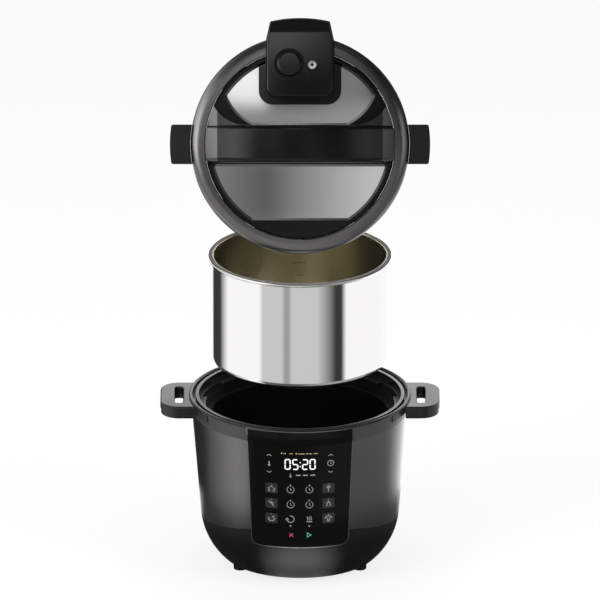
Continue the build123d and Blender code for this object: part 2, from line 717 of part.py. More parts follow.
# Base: bottom cover with the standoffs of the power board
BOARD_PLACES = [
    (side * (POWER_BOARD_X / 2 - STANDOFF_EDGE), end * (POWER_BOARD_Y / 2 - STANDOFF_EDGE))
    for side in (1, -1)
    for end in (1, -1)
]
COVER_PLATE_Z = FOOT_H - COVER_PLATE_T
with BuildPart() as bottom_cover:
    with BuildSketch(Plane.XY.offset(COVER_PLATE_Z)):
        Circle(COVER_PLATE_R)
        with PolarLocations(BOTTOM_SCREW_R, 4, start_angle=45):
            Circle(SCREW_R + SCREW_GAP, mode=Mode.SUBTRACT)
        with GridLocations(VENT_PITCH, VENT_ROW_PITCH, VENT_COUNT, 2):
            SlotOverall(VENT_L, VENT_W, rotation=90, mode=Mode.SUBTRACT)
    extrude(amount=COVER_PLATE_T)
    with BuildSketch(Plane.XY.offset(FOOT_H)):
        with Locations(*BOARD_PLACES):
            Circle(STANDOFF_R)
    extrude(amount=STANDOFF_H)
write(bottom_cover, "bottom_cover")

BOTTOM_SCREWS = [
    (BOTTOM_SCREW_R * math.cos(math.radians(turn)), BOTTOM_SCREW_R * math.sin(math.radians(turn)))
    for turn in (45, 135, 225, 315)
]
bottom_screws = screws(BOTTOM_SCREWS, COVER_PLATE_Z, COVER_PLATE_T + HOUSING_WALL)
write(bottom_screws, "bottom_screws")

with BuildPart() as rubber_feet:
    with BuildSketch(Plane.XY):
        with Locations(*[(x * FOOT_X, y * FOOT_Y) for x in (1, -1) for y in (1, -1)]):
            Circle(FOOT_R)
    extrude(amount=FOOT_H)
    fillet(rubber_feet.edges().group_by(Axis.Z)[0], EDGE_ROUND)
write(rubber_feet, "rubber_feet")

# Base: power board with its relay
BOARD_Z = FOOT_H + STANDOFF_H
with BuildPart() as power_board:
    with BuildSketch(Plane.XY.offset(BOARD_Z)):
        Rectangle(POWER_BOARD_X, POWER_BOARD_Y)
    extrude(amount=BOARD_T)
write(power_board, "power_board")

with BuildPart() as relay:
    with BuildSketch(Plane.XY.offset(BOARD_Z + BOARD_T)):
        with Locations((POWER_BOARD_X / 4, -POWER_BOARD_Y / 4)):
            Rectangle(RELAY[0], RELAY[1])
    extrude(amount=RELAY[2])
write(relay, "relay")

# Base: mains inlet at the rear, with its three pins
with BuildPart() as power_inlet:
    with BuildSketch(Plane.XZ.offset(-INLET_FACE_Y)):
        with Locations((0, INLET_LOW_Z + INLET_Z / 2)):
            RectangleRounded(INLET_X, INLET_Z, LIP_ROUND)
    extrude(amount=INLET_DEPTH)
    with BuildSketch(Plane.XZ.offset(-INLET_FACE_Y)):
        with Locations((0, INLET_LOW_Z + INLET_Z / 2)):
            RectangleRounded(SOCKET_X, SOCKET_Z, LIP_ROUND)
    extrude(amount=SOCKET_DEPTH, mode=Mode.SUBTRACT)
write(power_inlet, "power_inlet")

with BuildPart() as inlet_pins:
    with BuildSketch(Plane.XZ.offset(SOCKET_DEPTH - INLET_FACE_Y)):
        middle = INLET_LOW_Z + INLET_Z / 2
        with Locations(
            (-INLET_PIN_PITCH, middle - INLET_PIN_RISE),
            (0, middle + INLET_PIN_RISE),
            (INLET_PIN_PITCH, middle - INLET_PIN_RISE),
        ):
            Rectangle(INLET_PIN[0], INLET_PIN[1])
    extrude(amount=-INLET_PIN[2])
write(inlet_pins, "inlet_pins")


def panel_shell(proud, outline):
    """Part of the front wall inside an outline, standing proud of the body."""
    with BuildPart() as shell:
        add(front_solid(-proud))
        add(front_solid(PANEL_T), mode=Mode.SUBTRACT)
        add(outline, mode=Mode.INTERSECT)
    return shell


# Base: control panel, the bare header above it and the thin frame round both
control_panel = panel_shell(PANEL_PROUD, panel_prism(PANEL_LOW_Z, COLLAR_Z - TRIM_GAP, 0, True))
write(control_panel, "control_panel")

panel_header = panel_shell(PANEL_PROUD, panel_prism(COLLAR_Z + TRIM_GAP, HEADER_TOP_Z, 0, False))
write(panel_header, "panel_header")

with BuildPart() as panel_frame:
    add(panel_shell(FRAME_PROUD, panel_prism(PANEL_LOW_Z, HEADER_TOP_Z, FRAME_W, True)).part)
    add(panel_prism(PANEL_LOW_Z, HEADER_TOP_Z, TRIM_GAP, True), mode=Mode.SUBTRACT)
write(panel_frame, "panel_frame")

# Base: control board inside the panel's wall, with the display module between them
BOARD_FRONT_Y = math.sqrt((wall_radius(BOARD_LOW_Z) - PANEL_T - SEAT_GAP) ** 2 - BOARD_HALF**2)
BOARD_Y = BOARD_FRONT_Y - BOARD_T
DISPLAY_Y = math.sqrt((wall_radius(DISPLAY_LOW_Z) - PANEL_T - SEAT_GAP) ** 2 - DISPLAY_HALF**2)
with BuildPart() as control_board:
    with BuildSketch(Plane.XZ.offset(BOARD_Y)):
        with Locations((0, (BOARD_LOW_Z + BOARD_HIGH_Z) / 2)):
            Rectangle(2 * BOARD_HALF, BOARD_HIGH_Z - BOARD_LOW_Z)
    extrude(amount=BOARD_T)
write(control_board, "control_board")

with BuildPart() as display_module:
    with BuildSketch(Plane.XZ.offset(BOARD_FRONT_Y)):
        with Locations((0, (DISPLAY_LOW_Z + DISPLAY_HIGH_Z) / 2)):
            Rectangle(2 * DISPLAY_HALF, DISPLAY_HIGH_Z - DISPLAY_LOW_Z)
    extrude(amount=DISPLAY_Y - BOARD_FRONT_Y)
write(display_module, "display_module")

# Pot: drawn steel shell with a rolled rim, and the disc bonded under its floor
POT_FLOOR_Z = POT_Z + POT_DISC_T
POT_IN_R = POT_R - POT_WALL
with BuildPart() as inner_pot:
    with BuildSketch(Plane.XZ):
        with BuildLine():
            section = FilletPolyline(
                (0, POT_FLOOR_Z),
                (POT_R, POT_FLOOR_Z),
                (POT_R, POT_RIM_Z),
                (RIM_REACH_R, POT_RIM_Z),
                (RIM_REACH_R, POT_TOP_Z),
                (POT_IN_R, POT_TOP_Z),
                (POT_IN_R, POT_FLOOR_Z + POT_WALL),
                (0, POT_FLOOR_Z + POT_WALL),
                radius=[POT_HEEL, EDGE_ROUND, RIM_ROUND, RIM_ROUND, RIM_ROUND, POT_HEEL - POT_WALL],
            )
            Line(section @ 1, section @ 0)
        make_face()
    revolve()
write(inner_pot, "inner_pot", POT_UP)

with BuildPart() as pot_base_disc:
    with BuildSketch(Plane.XY.offset(POT_Z)):
        Circle(POT_R - POT_HEEL - POT_DISC_INSET)
    extrude(amount=POT_DISC_T)
    fillet(pot_base_disc.edges().group_by(Axis.Z)[0], POT_DISC_T / 2)
write(pot_base_disc, "pot_base_disc", POT_UP)

# Lid: sealing ring over the pot's rim, and the rack that holds it under the steel plate
SEAL_Z = POT_TOP_Z + SEAT_GAP
SEAL_TOP_Z = SEAL_Z + SEAL_H
SEAL_LIP = (SEAL_H - 2 * SEAL_GROOVE) / 2
with BuildPart() as sealing_ring:
    with BuildSketch(Plane.XZ) as seal_section:
        Polygon(
            (SEAL_IN_R, SEAL_Z),
            (RIM_REACH_R, SEAL_Z),
            (RIM_REACH_R, SEAL_TOP_Z),
            (SEAL_IN_R, SEAL_TOP_Z),
            (SEAL_IN_R, SEAL_TOP_Z - SEAL_LIP),
            (SEAL_IN_R + SEAL_W / 2, SEAL_TOP_Z - SEAL_LIP),
            (SEAL_IN_R + SEAL_W / 2, SEAL_Z + SEAL_LIP),
            (SEAL_IN_R, SEAL_Z + SEAL_LIP),
            align=None,
        )
        fillet(seal_section.vertices().group_by(Axis.X)[-1], EDGE_ROUND)
    revolve()
write(sealing_ring, "sealing_ring", LID_OPEN)

RACK_FLANGE_Z = SEAL_TOP_Z + SEAT_GAP
with BuildPart() as seal_rack:
    with BuildSketch(Plane.XZ):
        Polygon(
            (RACK_IN_R, POT_TOP_Z + RACK_CLEAR),
            (RACK_OUT_R, POT_TOP_Z + RACK_CLEAR),
            (RACK_OUT_R, RACK_FLANGE_Z),
            (RIM_REACH_R, RACK_FLANGE_Z),
            (RIM_REACH_R, RACK_FLANGE_Z + RACK_WALL),
            (RACK_OUT_R, RACK_FLANGE_Z + RACK_WALL),
            (RACK_OUT_R, LID_UNDER_Z),
            (RACK_IN_R, LID_UNDER_Z),
            align=None,
        )
    revolve()
write(seal_rack, "seal_rack", LID_OPEN)

LID_SCREWS = [(x * LID_SCREW_X, y * LID_SCREW_Y) for x in (1, -1) for y in (1, -1)]

# Lid: steel plate with its skirt, the bayonet lugs pointing out
with BuildPart() as steel_lid:
    with BuildSketch(Plane.XZ):
        Polygon(
            (0, LID_UNDER_Z),
            (SKIRT_R, LID_UNDER_Z),
            (SKIRT_R, LID_LUG_Z),
            (SKIRT_OUT_R, LID_LUG_Z),
            (SKIRT_OUT_R, LID_PLATE_Z),
            (0, LID_PLATE_Z),
            align=None,
        )
    revolve()
    with BuildSketch(Plane.XY.offset(LID_LUG_Z)):
        with PolarLocations(0, LUG_COUNT):
            Polygon(
                (0, 0),
                (FAR * math.cos(half_lug), -FAR * math.sin(half_lug)),
                (FAR * math.cos(half_lug), FAR * math.sin(half_lug)),
                align=None,
            )
        Circle(LID_LUG_R, mode=Mode.INTERSECT)
        Circle(SKIRT_R, mode=Mode.SUBTRACT)
    extrude(amount=LUG_T)
    with BuildSketch(Plane.XY.offset(LID_UNDER_Z)):
        with Locations(*LID_SCREWS):
            Circle(SCREW_R + SCREW_GAP)
        with Locations((PIPE_X, PIPE_Y)):
            Circle(PIPE_R + SCREW_GAP)
        with Locations((FLOAT_X, FLOAT_Y)):
            Circle(GUIDE_R + SCREW_GAP)
    extrude(amount=STEEL_T, mode=Mode.SUBTRACT)
write(steel_lid, "steel_lid", LID_OPEN)

lid_screws = screws(LID_SCREWS, LID_UNDER_Z, STEEL_T + LID_SCREW_BITE)
write(lid_screws, "lid_screws", LID_OPEN)

# Lid: outer ring, hollow from below
with BuildPart() as lid_ring:
    with BuildSketch(Plane.XZ) as ring_section:
        Polygon(
            (LID_RING_IN_R, LID_RING_Z),
            (LID_RING_R, LID_RING_Z),
            (LID_RING_R, LID_RING_TOP_Z),
            (LID_RING_IN_R, LID_RING_TOP_Z),
            align=None,
        )
        ring_top = ring_section.vertices().group_by(Axis.Y)[-1].sort_by(Axis.X)
        fillet(ring_top[-1], LID_RING_ROUND)
        ring_inner = ring_section.vertices().group_by(Axis.Y)[-1].sort_by(Axis.X)
        fillet(ring_inner[0], LID_RING_INNER_ROUND)
    revolve()
    with BuildSketch(Plane.XY.offset(LID_RING_Z)):
        Circle(LID_RING_R - STEAM_WALL)
        Circle(LID_RING_IN_R + STEAM_WALL, mode=Mode.SUBTRACT)
    extrude(amount=LID_RING_H - LID_RING_ROUND, mode=Mode.SUBTRACT)
write(lid_ring, "lid_ring", LID_OPEN)

# Lid: fins that stand the lid in the base's handle slots
FIN_Z = LID_RING_Z + (LID_RING_H - LID_RING_ROUND - FIN_T) / 2 + FIN_ROUND
for side, name in ((-1, "left_fin"), (1, "right_fin")):
    with BuildPart() as fin:
        with BuildSketch(Plane.XY.offset(FIN_Z)):
            with Locations((side * FIN_R, 0)):
                Rectangle(2 * (FIN_R - LID_RING_R) + FIN_W, FIN_W)
            Circle(FIN_R, mode=Mode.INTERSECT)
            Circle(LID_RING_R + TRIM_GAP, mode=Mode.SUBTRACT)
        extrude(amount=FIN_T)
        fillet(fin.edges().filter_by(Axis.Z).group_by(SortBy.DISTANCE)[-1], FIN_ROUND)
    write(fin, name, LID_OPEN)

# Lid: black cover with two windows over the steel
with BuildPart() as lid_cover:
    with BuildSketch(Plane.XY.offset(LID_PLATE_Z)):
        Circle(COVER_R)
    extrude(amount=COVER_H)
    fillet(lid_cover.edges().group_by(Axis.Z)[-1], LIP_ROUND)
    with BuildSketch(Plane.XY.offset(COVER_TOP_Z)):
        Circle(WINDOW_R)
        with Locations((0, (WINDOW_FRONT_Y + STRIP_FRONT_Y) / 2)):
            Rectangle(FAR, STRIP_FRONT_Y - WINDOW_FRONT_Y, mode=Mode.INTERSECT)
    extrude(amount=-COVER_H, taper=WINDOW_TAPER, mode=Mode.SUBTRACT)
    with BuildSketch(Plane.XY.offset(COVER_TOP_Z)):
        with BuildLine():
            Line((-UPPER_WINDOW_HALF, STRIP_REAR_Y), (UPPER_WINDOW_HALF, STRIP_REAR_Y))
            for side in (1, -1):
                ThreePointArc(
                    (side * UPPER_WINDOW_HALF, STRIP_REAR_Y),
                    (side * UPPER_BULGE_X, UPPER_BULGE_Y),
                    (side * UPPER_TIP_X, UPPER_TIP_Y),
                )
            Polyline(
                (UPPER_TIP_X, UPPER_TIP_Y), (UPPER_TIP_X, FAR), (-UPPER_TIP_X, FAR), (-UPPER_TIP_X, UPPER_TIP_Y)
            )
        make_face()
        Circle(WINDOW_R, mode=Mode.INTERSECT)
        offset(amount=-UPPER_CORNER, mode=Mode.REPLACE)
        offset(amount=UPPER_CORNER, mode=Mode.REPLACE)
    extrude(amount=-COVER_H, taper=WINDOW_TAPER, mode=Mode.SUBTRACT)
    with BuildSketch(Plane.XY.offset(STRIP_Z)):
        with Locations((0, (STRIP_FRONT_Y + STRIP_REAR_Y) / 2)):
            Rectangle(2 * (BAR_HALF - BAR_ROUND), STRIP_REAR_Y - STRIP_FRONT_Y)
    extrude(amount=COVER_H, mode=Mode.SUBTRACT)
    with BuildSketch(Plane.XY.offset(LID_PLATE_Z)):
        with Locations(*LID_SCREWS):
            Circle(SCREW_R + SCREW_GAP)
    extrude(amount=LID_SCREW_BITE + SEAT_GAP, mode=Mode.SUBTRACT)
write(lid_cover, "lid_cover", LID_OPEN)


def arch_prism(end_rise, rise, front_y, rear_y):
    """Prism of the lid handle's arched side view, between two depths."""
    with BuildPart() as prism:
        with BuildSketch(Plane.XZ.offset(-rear_y)):
            with BuildLine():
                ThreePointArc(
                    (-COVER_R, COVER_TOP_Z + end_rise), (0, COVER_TOP_Z + rise), (COVER_R, COVER_TOP_Z + end_rise)
                )
                Polyline(
                    (COVER_R, COVER_TOP_Z + end_rise),
                    (COVER_R, COVER_TOP_Z),
                    (BAR_HALF, COVER_TOP_Z),
                    (BAR_HALF, COVER_TOP_Z + SEAT_GAP),
                )
                ThreePointArc(
                    (BAR_HALF, COVER_TOP_Z + SEAT_GAP),
                    (0, COVER_TOP_Z + BAR_RISE - BAR_T),
                    (-BAR_HALF, COVER_TOP_Z + SEAT_GAP),
                )
                Polyline(
                    (-BAR_HALF, COVER_TOP_Z + SEAT_GAP),
                    (-BAR_HALF, COVER_TOP_Z),
                    (-COVER_R, COVER_TOP_Z),
                    (-COVER_R, COVER_TOP_Z + end_rise),
                )
            make_face()
        extrude(amount=rear_y - front_y)
    return prism.part


# Lid: arched handle across the middle, widening behind at its ends, with an end piece at each side
with BuildPart() as flares:
    add(arch_prism(FLARE_END_RISE, BAR_RISE - BAR_ROUND, 0, FLARE_REAR_Y))
    with BuildSketch(Plane.XY):
        for side in (1, -1):
            with BuildLine():
                sweep_in = TangentArc(
                    (side * FLARE_X, BAR_REAR_Y), (side * FLARE_TIP_X, FLARE_REAR_Y), tangent=(side, 0)
                )
                Polyline(
                    sweep_in @ 1,
                    (side * COVER_R, FLARE_REAR_Y),
                    (side * COVER_R, 0),
                    (side * FLARE_X, 0),
                    sweep_in @ 0,
                )
            make_face()
    extrude(amount=FAR, mode=Mode.INTERSECT)
with BuildPart() as arch:
    add(arch_prism(BAR_END_RISE, BAR_RISE, BAR_FRONT_Y, BAR_REAR_Y))
    fillet(arch.edges().filter_by(GeomType.CIRCLE).sort_by(Axis.Z)[-2:], BAR_ROUND)
    add(flares.part)
    with BuildSketch(Plane.XY):
        Circle(COVER_R - TRIM_GAP)
    extrude(amount=FAR, mode=Mode.INTERSECT)

with BuildPart() as lid_handle:
    add(arch.part)
    split(bisect_by=Plane.YZ.offset(BAR_HALF), keep=Keep.BOTTOM)
    split(bisect_by=Plane.YZ.offset(-BAR_HALF), keep=Keep.TOP)
write(lid_handle, "lid_handle", LID_OPEN)

for keep, seam, name in (
    (Keep.BOTTOM, -BAR_HALF - TRIM_GAP, "handle_end_left"),
    (Keep.TOP, BAR_HALF + TRIM_GAP, "handle_end_right"),
):
    with BuildPart() as handle_end:
        add(arch.part)
        split(bisect_by=Plane.YZ.offset(seam), keep=keep)
    write(handle_end, name, LID_OPEN)


def steam_outline(inset, low_z, height, taper, within_r):
    """Prism of the raised face's outline, drawn in by an inset and kept inside a circle."""
    with BuildPart() as prism:
        with BuildSketch(Plane.XY.offset(low_z)) as outline:
            with BuildLine():
                ThreePointArc(
                    (STEAM_REAR_HALF, STEAM_REAR_END_Y), (0, STEAM_REAR_Y), (-STEAM_REAR_HALF, STEAM_REAR_END_Y)
                )
                Polyline(
                    (-STEAM_REAR_HALF, STEAM_REAR_END_Y),
                    (-STEAM_FACE_HALF, STEAM_SHOULDER_Y),
                    (-STEAM_FACE_HALF, STEAM_FACE_FRONT_Y),
                    (STEAM_FACE_HALF, STEAM_FACE_FRONT_Y),
                    (STEAM_FACE_HALF, STEAM_SHOULDER_Y),
                    (STEAM_REAR_HALF, STEAM_REAR_END_Y),
                )
            make_face()
            fillet(outline.vertices().group_by(Axis.Y)[-1], STEAM_REAR_ROUND)
            fillet(outline.vertices().group_by(Axis.Y)[0], STEAM_FACE_CORNER)
            if inset:
                offset(amount=-inset, mode=Mode.REPLACE)
            if within_r:
                Circle(within_r, mode=Mode.INTERSECT)
        extrude(amount=height, taper=taper)
    return prism.part


def steam_bevel(drop):
    """Wedge above the slope at the face's rear, lowered by a drop."""
    with BuildPart() as wedge:
        with BuildSketch(Plane.YZ):
            Polygon(
                (STEAM_BEVEL_Y, STEAM_FACE_Z - drop),
                (STEAM_REAR_Y + STEAM_WALL, STEAM_FACE_Z - STEAM_BEVEL_H - drop),
                (STEAM_REAR_Y + STEAM_WALL, STEAM_FACE_Z + STEAM_WALL),
                (STEAM_BEVEL_Y, STEAM_FACE_Z + STEAM_WALL),
                align=None,
            )
        extrude(amount=STEAM_HALF, both=True)
    return wedge.part


# Lid: steam housing's base, standing on the steel inside the rear window and reaching over the ring
STEAM_FOOT_R = WINDOW_R - COVER_H * math.tan(math.radians(WINDOW_TAPER)) - SEAT_GAP
STEAM_POCKET_R = STEAM_FOOT_R - STEAM_FOOT_WALL
with BuildPart() as steam_base:
    with BuildSketch(Plane.XY.offset(LID_PLATE_Z)) as foot_plan:
        Polygon(
            (-STEAM_HALF, STEAM_FRONT_Y),
            (STEAM_HALF, STEAM_FRONT_Y),
            (STEAM_HALF, FAR),
            (-STEAM_HALF, FAR),
            align=None,
        )
        fillet(foot_plan.vertices().group_by(Axis.Y)[0], STEAM_CORNER)
        Circle(STEAM_FOOT_R, mode=Mode.INTERSECT)
    extrude(amount=STEAM_FLANGE_Z - LID_PLATE_Z)
    add(steam_outline(0, STEAM_FLANGE_Z, STEAM_FLANGE_T, 0, None))
    add(
        steam_outline(
            STEAM_WALL + STEAM_INSET + STEAM_LEDGE, LID_PLATE_Z + STEAM_FLOOR_T, FAR, 0, STEAM_POCKET_R
        ),
        mode=Mode.SUBTRACT,
    )
    with BuildSketch(Plane.XY.offset(LID_PLATE_Z)):
        with Locations((PIPE_X, PIPE_Y)):
            Circle(PIPE_R + TRIM_GAP)
        with Locations((FLOAT_X, FLOAT_Y)):
            Circle(GUIDE_FLANGE_R + TRIM_GAP)
    extrude(amount=STEAM_FLOOR_T, mode=Mode.SUBTRACT)
write(steam_base, "steam_base", LID_OPEN)

# Lid: steam housing's raised face, with the button's well, the float valve's hole and a raised tile
with BuildPart() as steam_hollow:
    add(steam_outline(STEAM_INSET + STEAM_WALL, STEAM_SEAM_Z, STEAM_FACE_H - STEAM_WALL, STEAM_TAPER, None))
    add(steam_bevel(STEAM_WALL), mode=Mode.SUBTRACT)
with BuildPart() as steam_housing:
    add(steam_outline(STEAM_INSET, STEAM_SEAM_Z, STEAM_FACE_H, STEAM_TAPER, None))
    add(steam_bevel(0), mode=Mode.SUBTRACT)
    fillet(steam_housing.faces().sort_by(Axis.Z)[-1].edges(), STEAM_FACE_ROUND)
    add(steam_hollow.part, mode=Mode.SUBTRACT)
    with BuildSketch(Plane.XY.offset(STEAM_FACE_Z - BUTTON_GROOVE_D)):
        with Locations((BUTTON_X, BUTTON_Y)):
            Circle(BUTTON_GROOVE_R)
    extrude(amount=BUTTON_GROOVE_D, mode=Mode.SUBTRACT)
    with BuildSketch(Plane.XY.offset(STEAM_FACE_Z - STEAM_WALL)):
        with Locations((BUTTON_X, BUTTON_Y)):
            Circle(BUTTON_R + BUTTON_GAP)
        with Locations((FLOAT_X, FLOAT_Y)):
            Circle(FLOAT_HEAD_R + FLOAT_BORE_GAP)
    extrude(amount=STEAM_WALL, mode=Mode.SUBTRACT)
    with BuildSketch(Plane.XY.offset(STEAM_FACE_Z)):
        with Locations((TILE_X, TILE_Y)):
            RectangleRounded(TILE, TILE, TILE / 4)
            RectangleRounded(TILE - 2 * TILE_LINE, TILE - 2 * TILE_LINE, TILE / 5, mode=Mode.SUBTRACT)
    extrude(amount=TILE_H)
write(steam_housing, "steam_housing", LID_OPEN)

# Lid: steam button, the stem it pushes and the spring under it
BUTTON_TOP_Z = STEAM_FACE_Z + BUTTON_PROUD
BUTTON_Z = BUTTON_TOP_Z - BUTTON_H
with BuildPart() as steam_button:
    with BuildSketch(Plane.XY.offset(BUTTON_Z)):
        with Locations((BUTTON_X, BUTTON_Y)):
            Circle(BUTTON_R)
    extrude(amount=BUTTON_H)
    fillet(steam_button.edges().group_by(Axis.Z)[-1], BUTTON_ROUND)
    with BuildSketch(Plane.XY.offset(BUTTON_TOP_Z)):
        with Locations((BUTTON_X, BUTTON_Y)):
            Circle(BUTTON_DISH_R)
    extrude(amount=-BUTTON_DISH_D, mode=Mode.SUBTRACT)
write(steam_button, "steam_button", LID_OPEN)

with BuildPart() as valve_stem:
    with BuildSketch(Plane.XY.offset(BUTTON_Z)):
        with Locations((BUTTON_X, BUTTON_Y)):
            Circle(STEM_R)
    extrude(amount=-STEM_L)
write(valve_stem, "valve_stem", LID_OPEN)

SPRING_Z = LID_PLATE_Z + STEAM_FLOOR_T
with BuildPart() as button_spring:
    with BuildSketch(Plane.XY.offset(SPRING_Z)):
        with Locations((BUTTON_X, BUTTON_Y)):
            Circle(STEM_R + SENSOR_GAP + BUTTON_SPRING_WALL)
            Circle(STEM_R + SENSOR_GAP, mode=Mode.SUBTRACT)
    extrude(amount=BUTTON_Z - SPRING_Z)
write(button_spring, "button_spring", LID_OPEN)

# Lid: float valve that rises through the steel with pressure, its silicone cap and its guide
FLOAT_TOP_Z = STEAM_FACE_Z - FLOAT_TRAVEL
FLOAT_CAP_TOP_Z = LID_UNDER_Z - FLOAT_TRAVEL - FLOAT_SPARE
with BuildPart() as float_valve:
    with BuildSketch(Plane.XY.offset(FLOAT_TOP_Z)):
        with Locations((FLOAT_X, FLOAT_Y)):
            Circle(FLOAT_HEAD_R)
    extrude(amount=-FLOAT_HEAD_L)
    fillet(float_valve.edges().group_by(Axis.Z)[-1], EDGE_ROUND)
    with BuildSketch(Plane.XY.offset(FLOAT_TOP_Z)):
        with Locations((FLOAT_X, FLOAT_Y)):
            Circle(FLOAT_HOLE_R)
    extrude(amount=-FLOAT_HEAD_L / 2, mode=Mode.SUBTRACT)
    with BuildSketch(Plane.XY.offset(FLOAT_CAP_TOP_Z)):
        with Locations((FLOAT_X, FLOAT_Y)):
            Circle(FLOAT_PIN_R)
    extrude(amount=FLOAT_TOP_Z - FLOAT_HEAD_L - FLOAT_CAP_TOP_Z)
write(float_valve, "float_valve", LID_OPEN)

with BuildPart() as float_valve_cap:
    with BuildSketch(Plane.XY.offset(FLOAT_CAP_TOP_Z)):
        with Locations((FLOAT_X, FLOAT_Y)):
            Circle(FLOAT_CAP_R)
    extrude(amount=-FLOAT_CAP_H)
    fillet(float_valve_cap.edges().group_by(Axis.Z)[0], EDGE_ROUND)
write(float_valve_cap, "float_valve_cap", LID_OPEN)

with BuildPart() as float_guide:
    with BuildSketch(Plane.XY.offset(LID_UNDER_Z)):
        with Locations((FLOAT_X, FLOAT_Y)):
            Circle(GUIDE_R)
    extrude(amount=STEEL_T + GUIDE_H)
    with BuildSketch(Plane.XY.offset(LID_PLATE_Z)):
        with Locations((FLOAT_X, FLOAT_Y)):
            Circle(GUIDE_FLANGE_R)
    extrude(amount=GUIDE_FLANGE_T)
    with BuildSketch(Plane.XY.offset(LID_UNDER_Z)):
        with Locations((FLOAT_X, FLOAT_Y)):
            Circle(FLOAT_PIN_R + SEAT_GAP)
    extrude(amount=FAR, mode=Mode.SUBTRACT)
write(float_guide, "float_guide", LID_OPEN)

# Lid: exhaust pipe through the steel, its nut, the pressure weight on its top and the shield below
PIPE_TOP_Z = LID_PLATE_Z + PIPE_H
PIPE_Z = LID_UNDER_Z - PIPE_TAIL
with BuildPart() as exhaust_pipe:
    with BuildSketch(Plane.XY.offset(PIPE_Z)):
        with Locations((PIPE_X, PIPE_Y)):
            Circle(PIPE_R)
            Circle(PIPE_BORE_R, mode=Mode.SUBTRACT)
    extrude(amount=PIPE_TOP_Z - PIPE_Z)
write(exhaust_pipe, "exhaust_pipe", LID_OPEN)

with BuildPart() as exhaust_nut:
    with BuildSketch(Plane.XY.offset(LID_UNDER_Z)):
        with Locations((PIPE_X, PIPE_Y)):
            RegularPolygon(NUT_R, 6)
            Circle(PIPE_R + SCREW_GAP, mode=Mode.SUBTRACT)
    extrude(amount=-NUT_H)
write(exhaust_nut, "exhaust_nut", LID_OPEN)

WEIGHT_TOP_Z = PIPE_TOP_Z + SEAT_GAP + WEIGHT_CROWN
with BuildPart() as pressure_weight:
    with BuildSketch(Plane.XY.offset(WEIGHT_TOP_Z - WEIGHT_H)):
        with Locations((PIPE_X, PIPE_Y)):
            Circle(WEIGHT_R)
    extrude(amount=WEIGHT_H)
    fillet(pressure_weight.edges().group_by(Axis.Z)[-1], LIP_ROUND)
    with BuildSketch(Plane.XY.offset(WEIGHT_TOP_Z - WEIGHT_H)):
        with Locations((PIPE_X, PIPE_Y)):
            Circle(PIPE_R + WEIGHT_GAP)
    extrude(amount=WEIGHT_H - WEIGHT_CROWN, mode=Mode.SUBTRACT)
write(pressure_weight, "pressure_weight", LID_OPEN)

SHIELD_Z = LID_UNDER_Z - SEAT_GAP - SHIELD_H
with BuildPart() as anti_block_shield:
    with BuildSketch(Plane.XY.offset(SHIELD_Z)):
        with Locations((PIPE_X, PIPE_Y)):
            Circle(SHIELD_R)
    extrude(amount=SHIELD_H)
    with BuildSketch(Plane.XY.offset(SHIELD_Z + SHIELD_WALL)):
        with Locations((PIPE_X, PIPE_Y)):
            Circle(SHIELD_R - SHIELD_WALL)
    extrude(amount=SHIELD_H, mode=Mode.SUBTRACT)
    with BuildSketch(Plane.XY.offset(SHIELD_Z + 2 * SHIELD_WALL)):
        with Locations((PIPE_X, PIPE_Y)):
            with PolarLocations(SHIELD_R, SHIELD_SLOTS):
                Rectangle(4 * SHIELD_WALL, 2 * SHIELD_WALL)
    extrude(amount=SHIELD_H - 4 * SHIELD_WALL, mode=Mode.SUBTRACT)
write(anti_block_shield, "anti_block_shield", LID_OPEN)
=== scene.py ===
"""Looks of the electric pressure cooker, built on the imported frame. Metres, +Z up, panel towards -Y."""

import json
import math

import bpy
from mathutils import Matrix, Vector
from mathutils.bvhtree import BVHTree

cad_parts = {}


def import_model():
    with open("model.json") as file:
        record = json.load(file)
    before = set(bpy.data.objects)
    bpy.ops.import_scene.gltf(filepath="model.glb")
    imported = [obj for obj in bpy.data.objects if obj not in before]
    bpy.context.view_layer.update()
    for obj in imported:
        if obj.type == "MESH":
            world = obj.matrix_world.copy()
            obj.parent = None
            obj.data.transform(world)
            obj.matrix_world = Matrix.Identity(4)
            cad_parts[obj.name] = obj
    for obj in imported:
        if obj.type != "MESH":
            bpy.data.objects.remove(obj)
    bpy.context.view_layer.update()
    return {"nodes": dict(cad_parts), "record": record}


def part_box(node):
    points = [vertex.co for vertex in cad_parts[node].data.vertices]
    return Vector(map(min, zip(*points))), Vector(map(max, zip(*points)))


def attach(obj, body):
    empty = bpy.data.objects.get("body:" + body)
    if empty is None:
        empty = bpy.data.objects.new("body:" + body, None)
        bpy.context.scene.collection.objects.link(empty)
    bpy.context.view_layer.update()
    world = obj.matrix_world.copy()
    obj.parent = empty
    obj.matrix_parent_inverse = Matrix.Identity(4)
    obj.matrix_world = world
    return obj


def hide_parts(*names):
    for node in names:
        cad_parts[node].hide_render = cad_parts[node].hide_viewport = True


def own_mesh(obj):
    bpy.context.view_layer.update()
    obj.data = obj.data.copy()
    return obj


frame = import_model()

MM = 0.001
JOINTS = {joint["name"]: joint for joint in frame["record"]["behaviour"]["joints"]}
LID_CENTRE = Vector(JOINTS["lid_twist"]["pos_m"])
LID_AXIS = Vector(JOINTS["lid_twist"]["axis"])
LID_TILT = math.atan2(-LID_AXIS.y, LID_AXIS.z)

# View of the photograph
VIEW_ELEVATION = math.radians(20.0)
VIEW_DISTANCE = 20.0
VIEW_WIDTH = 0.72
VIEW_AIM = Vector((0.0, 0.0, 0.328))
SENSOR = 36.0


# Shader building


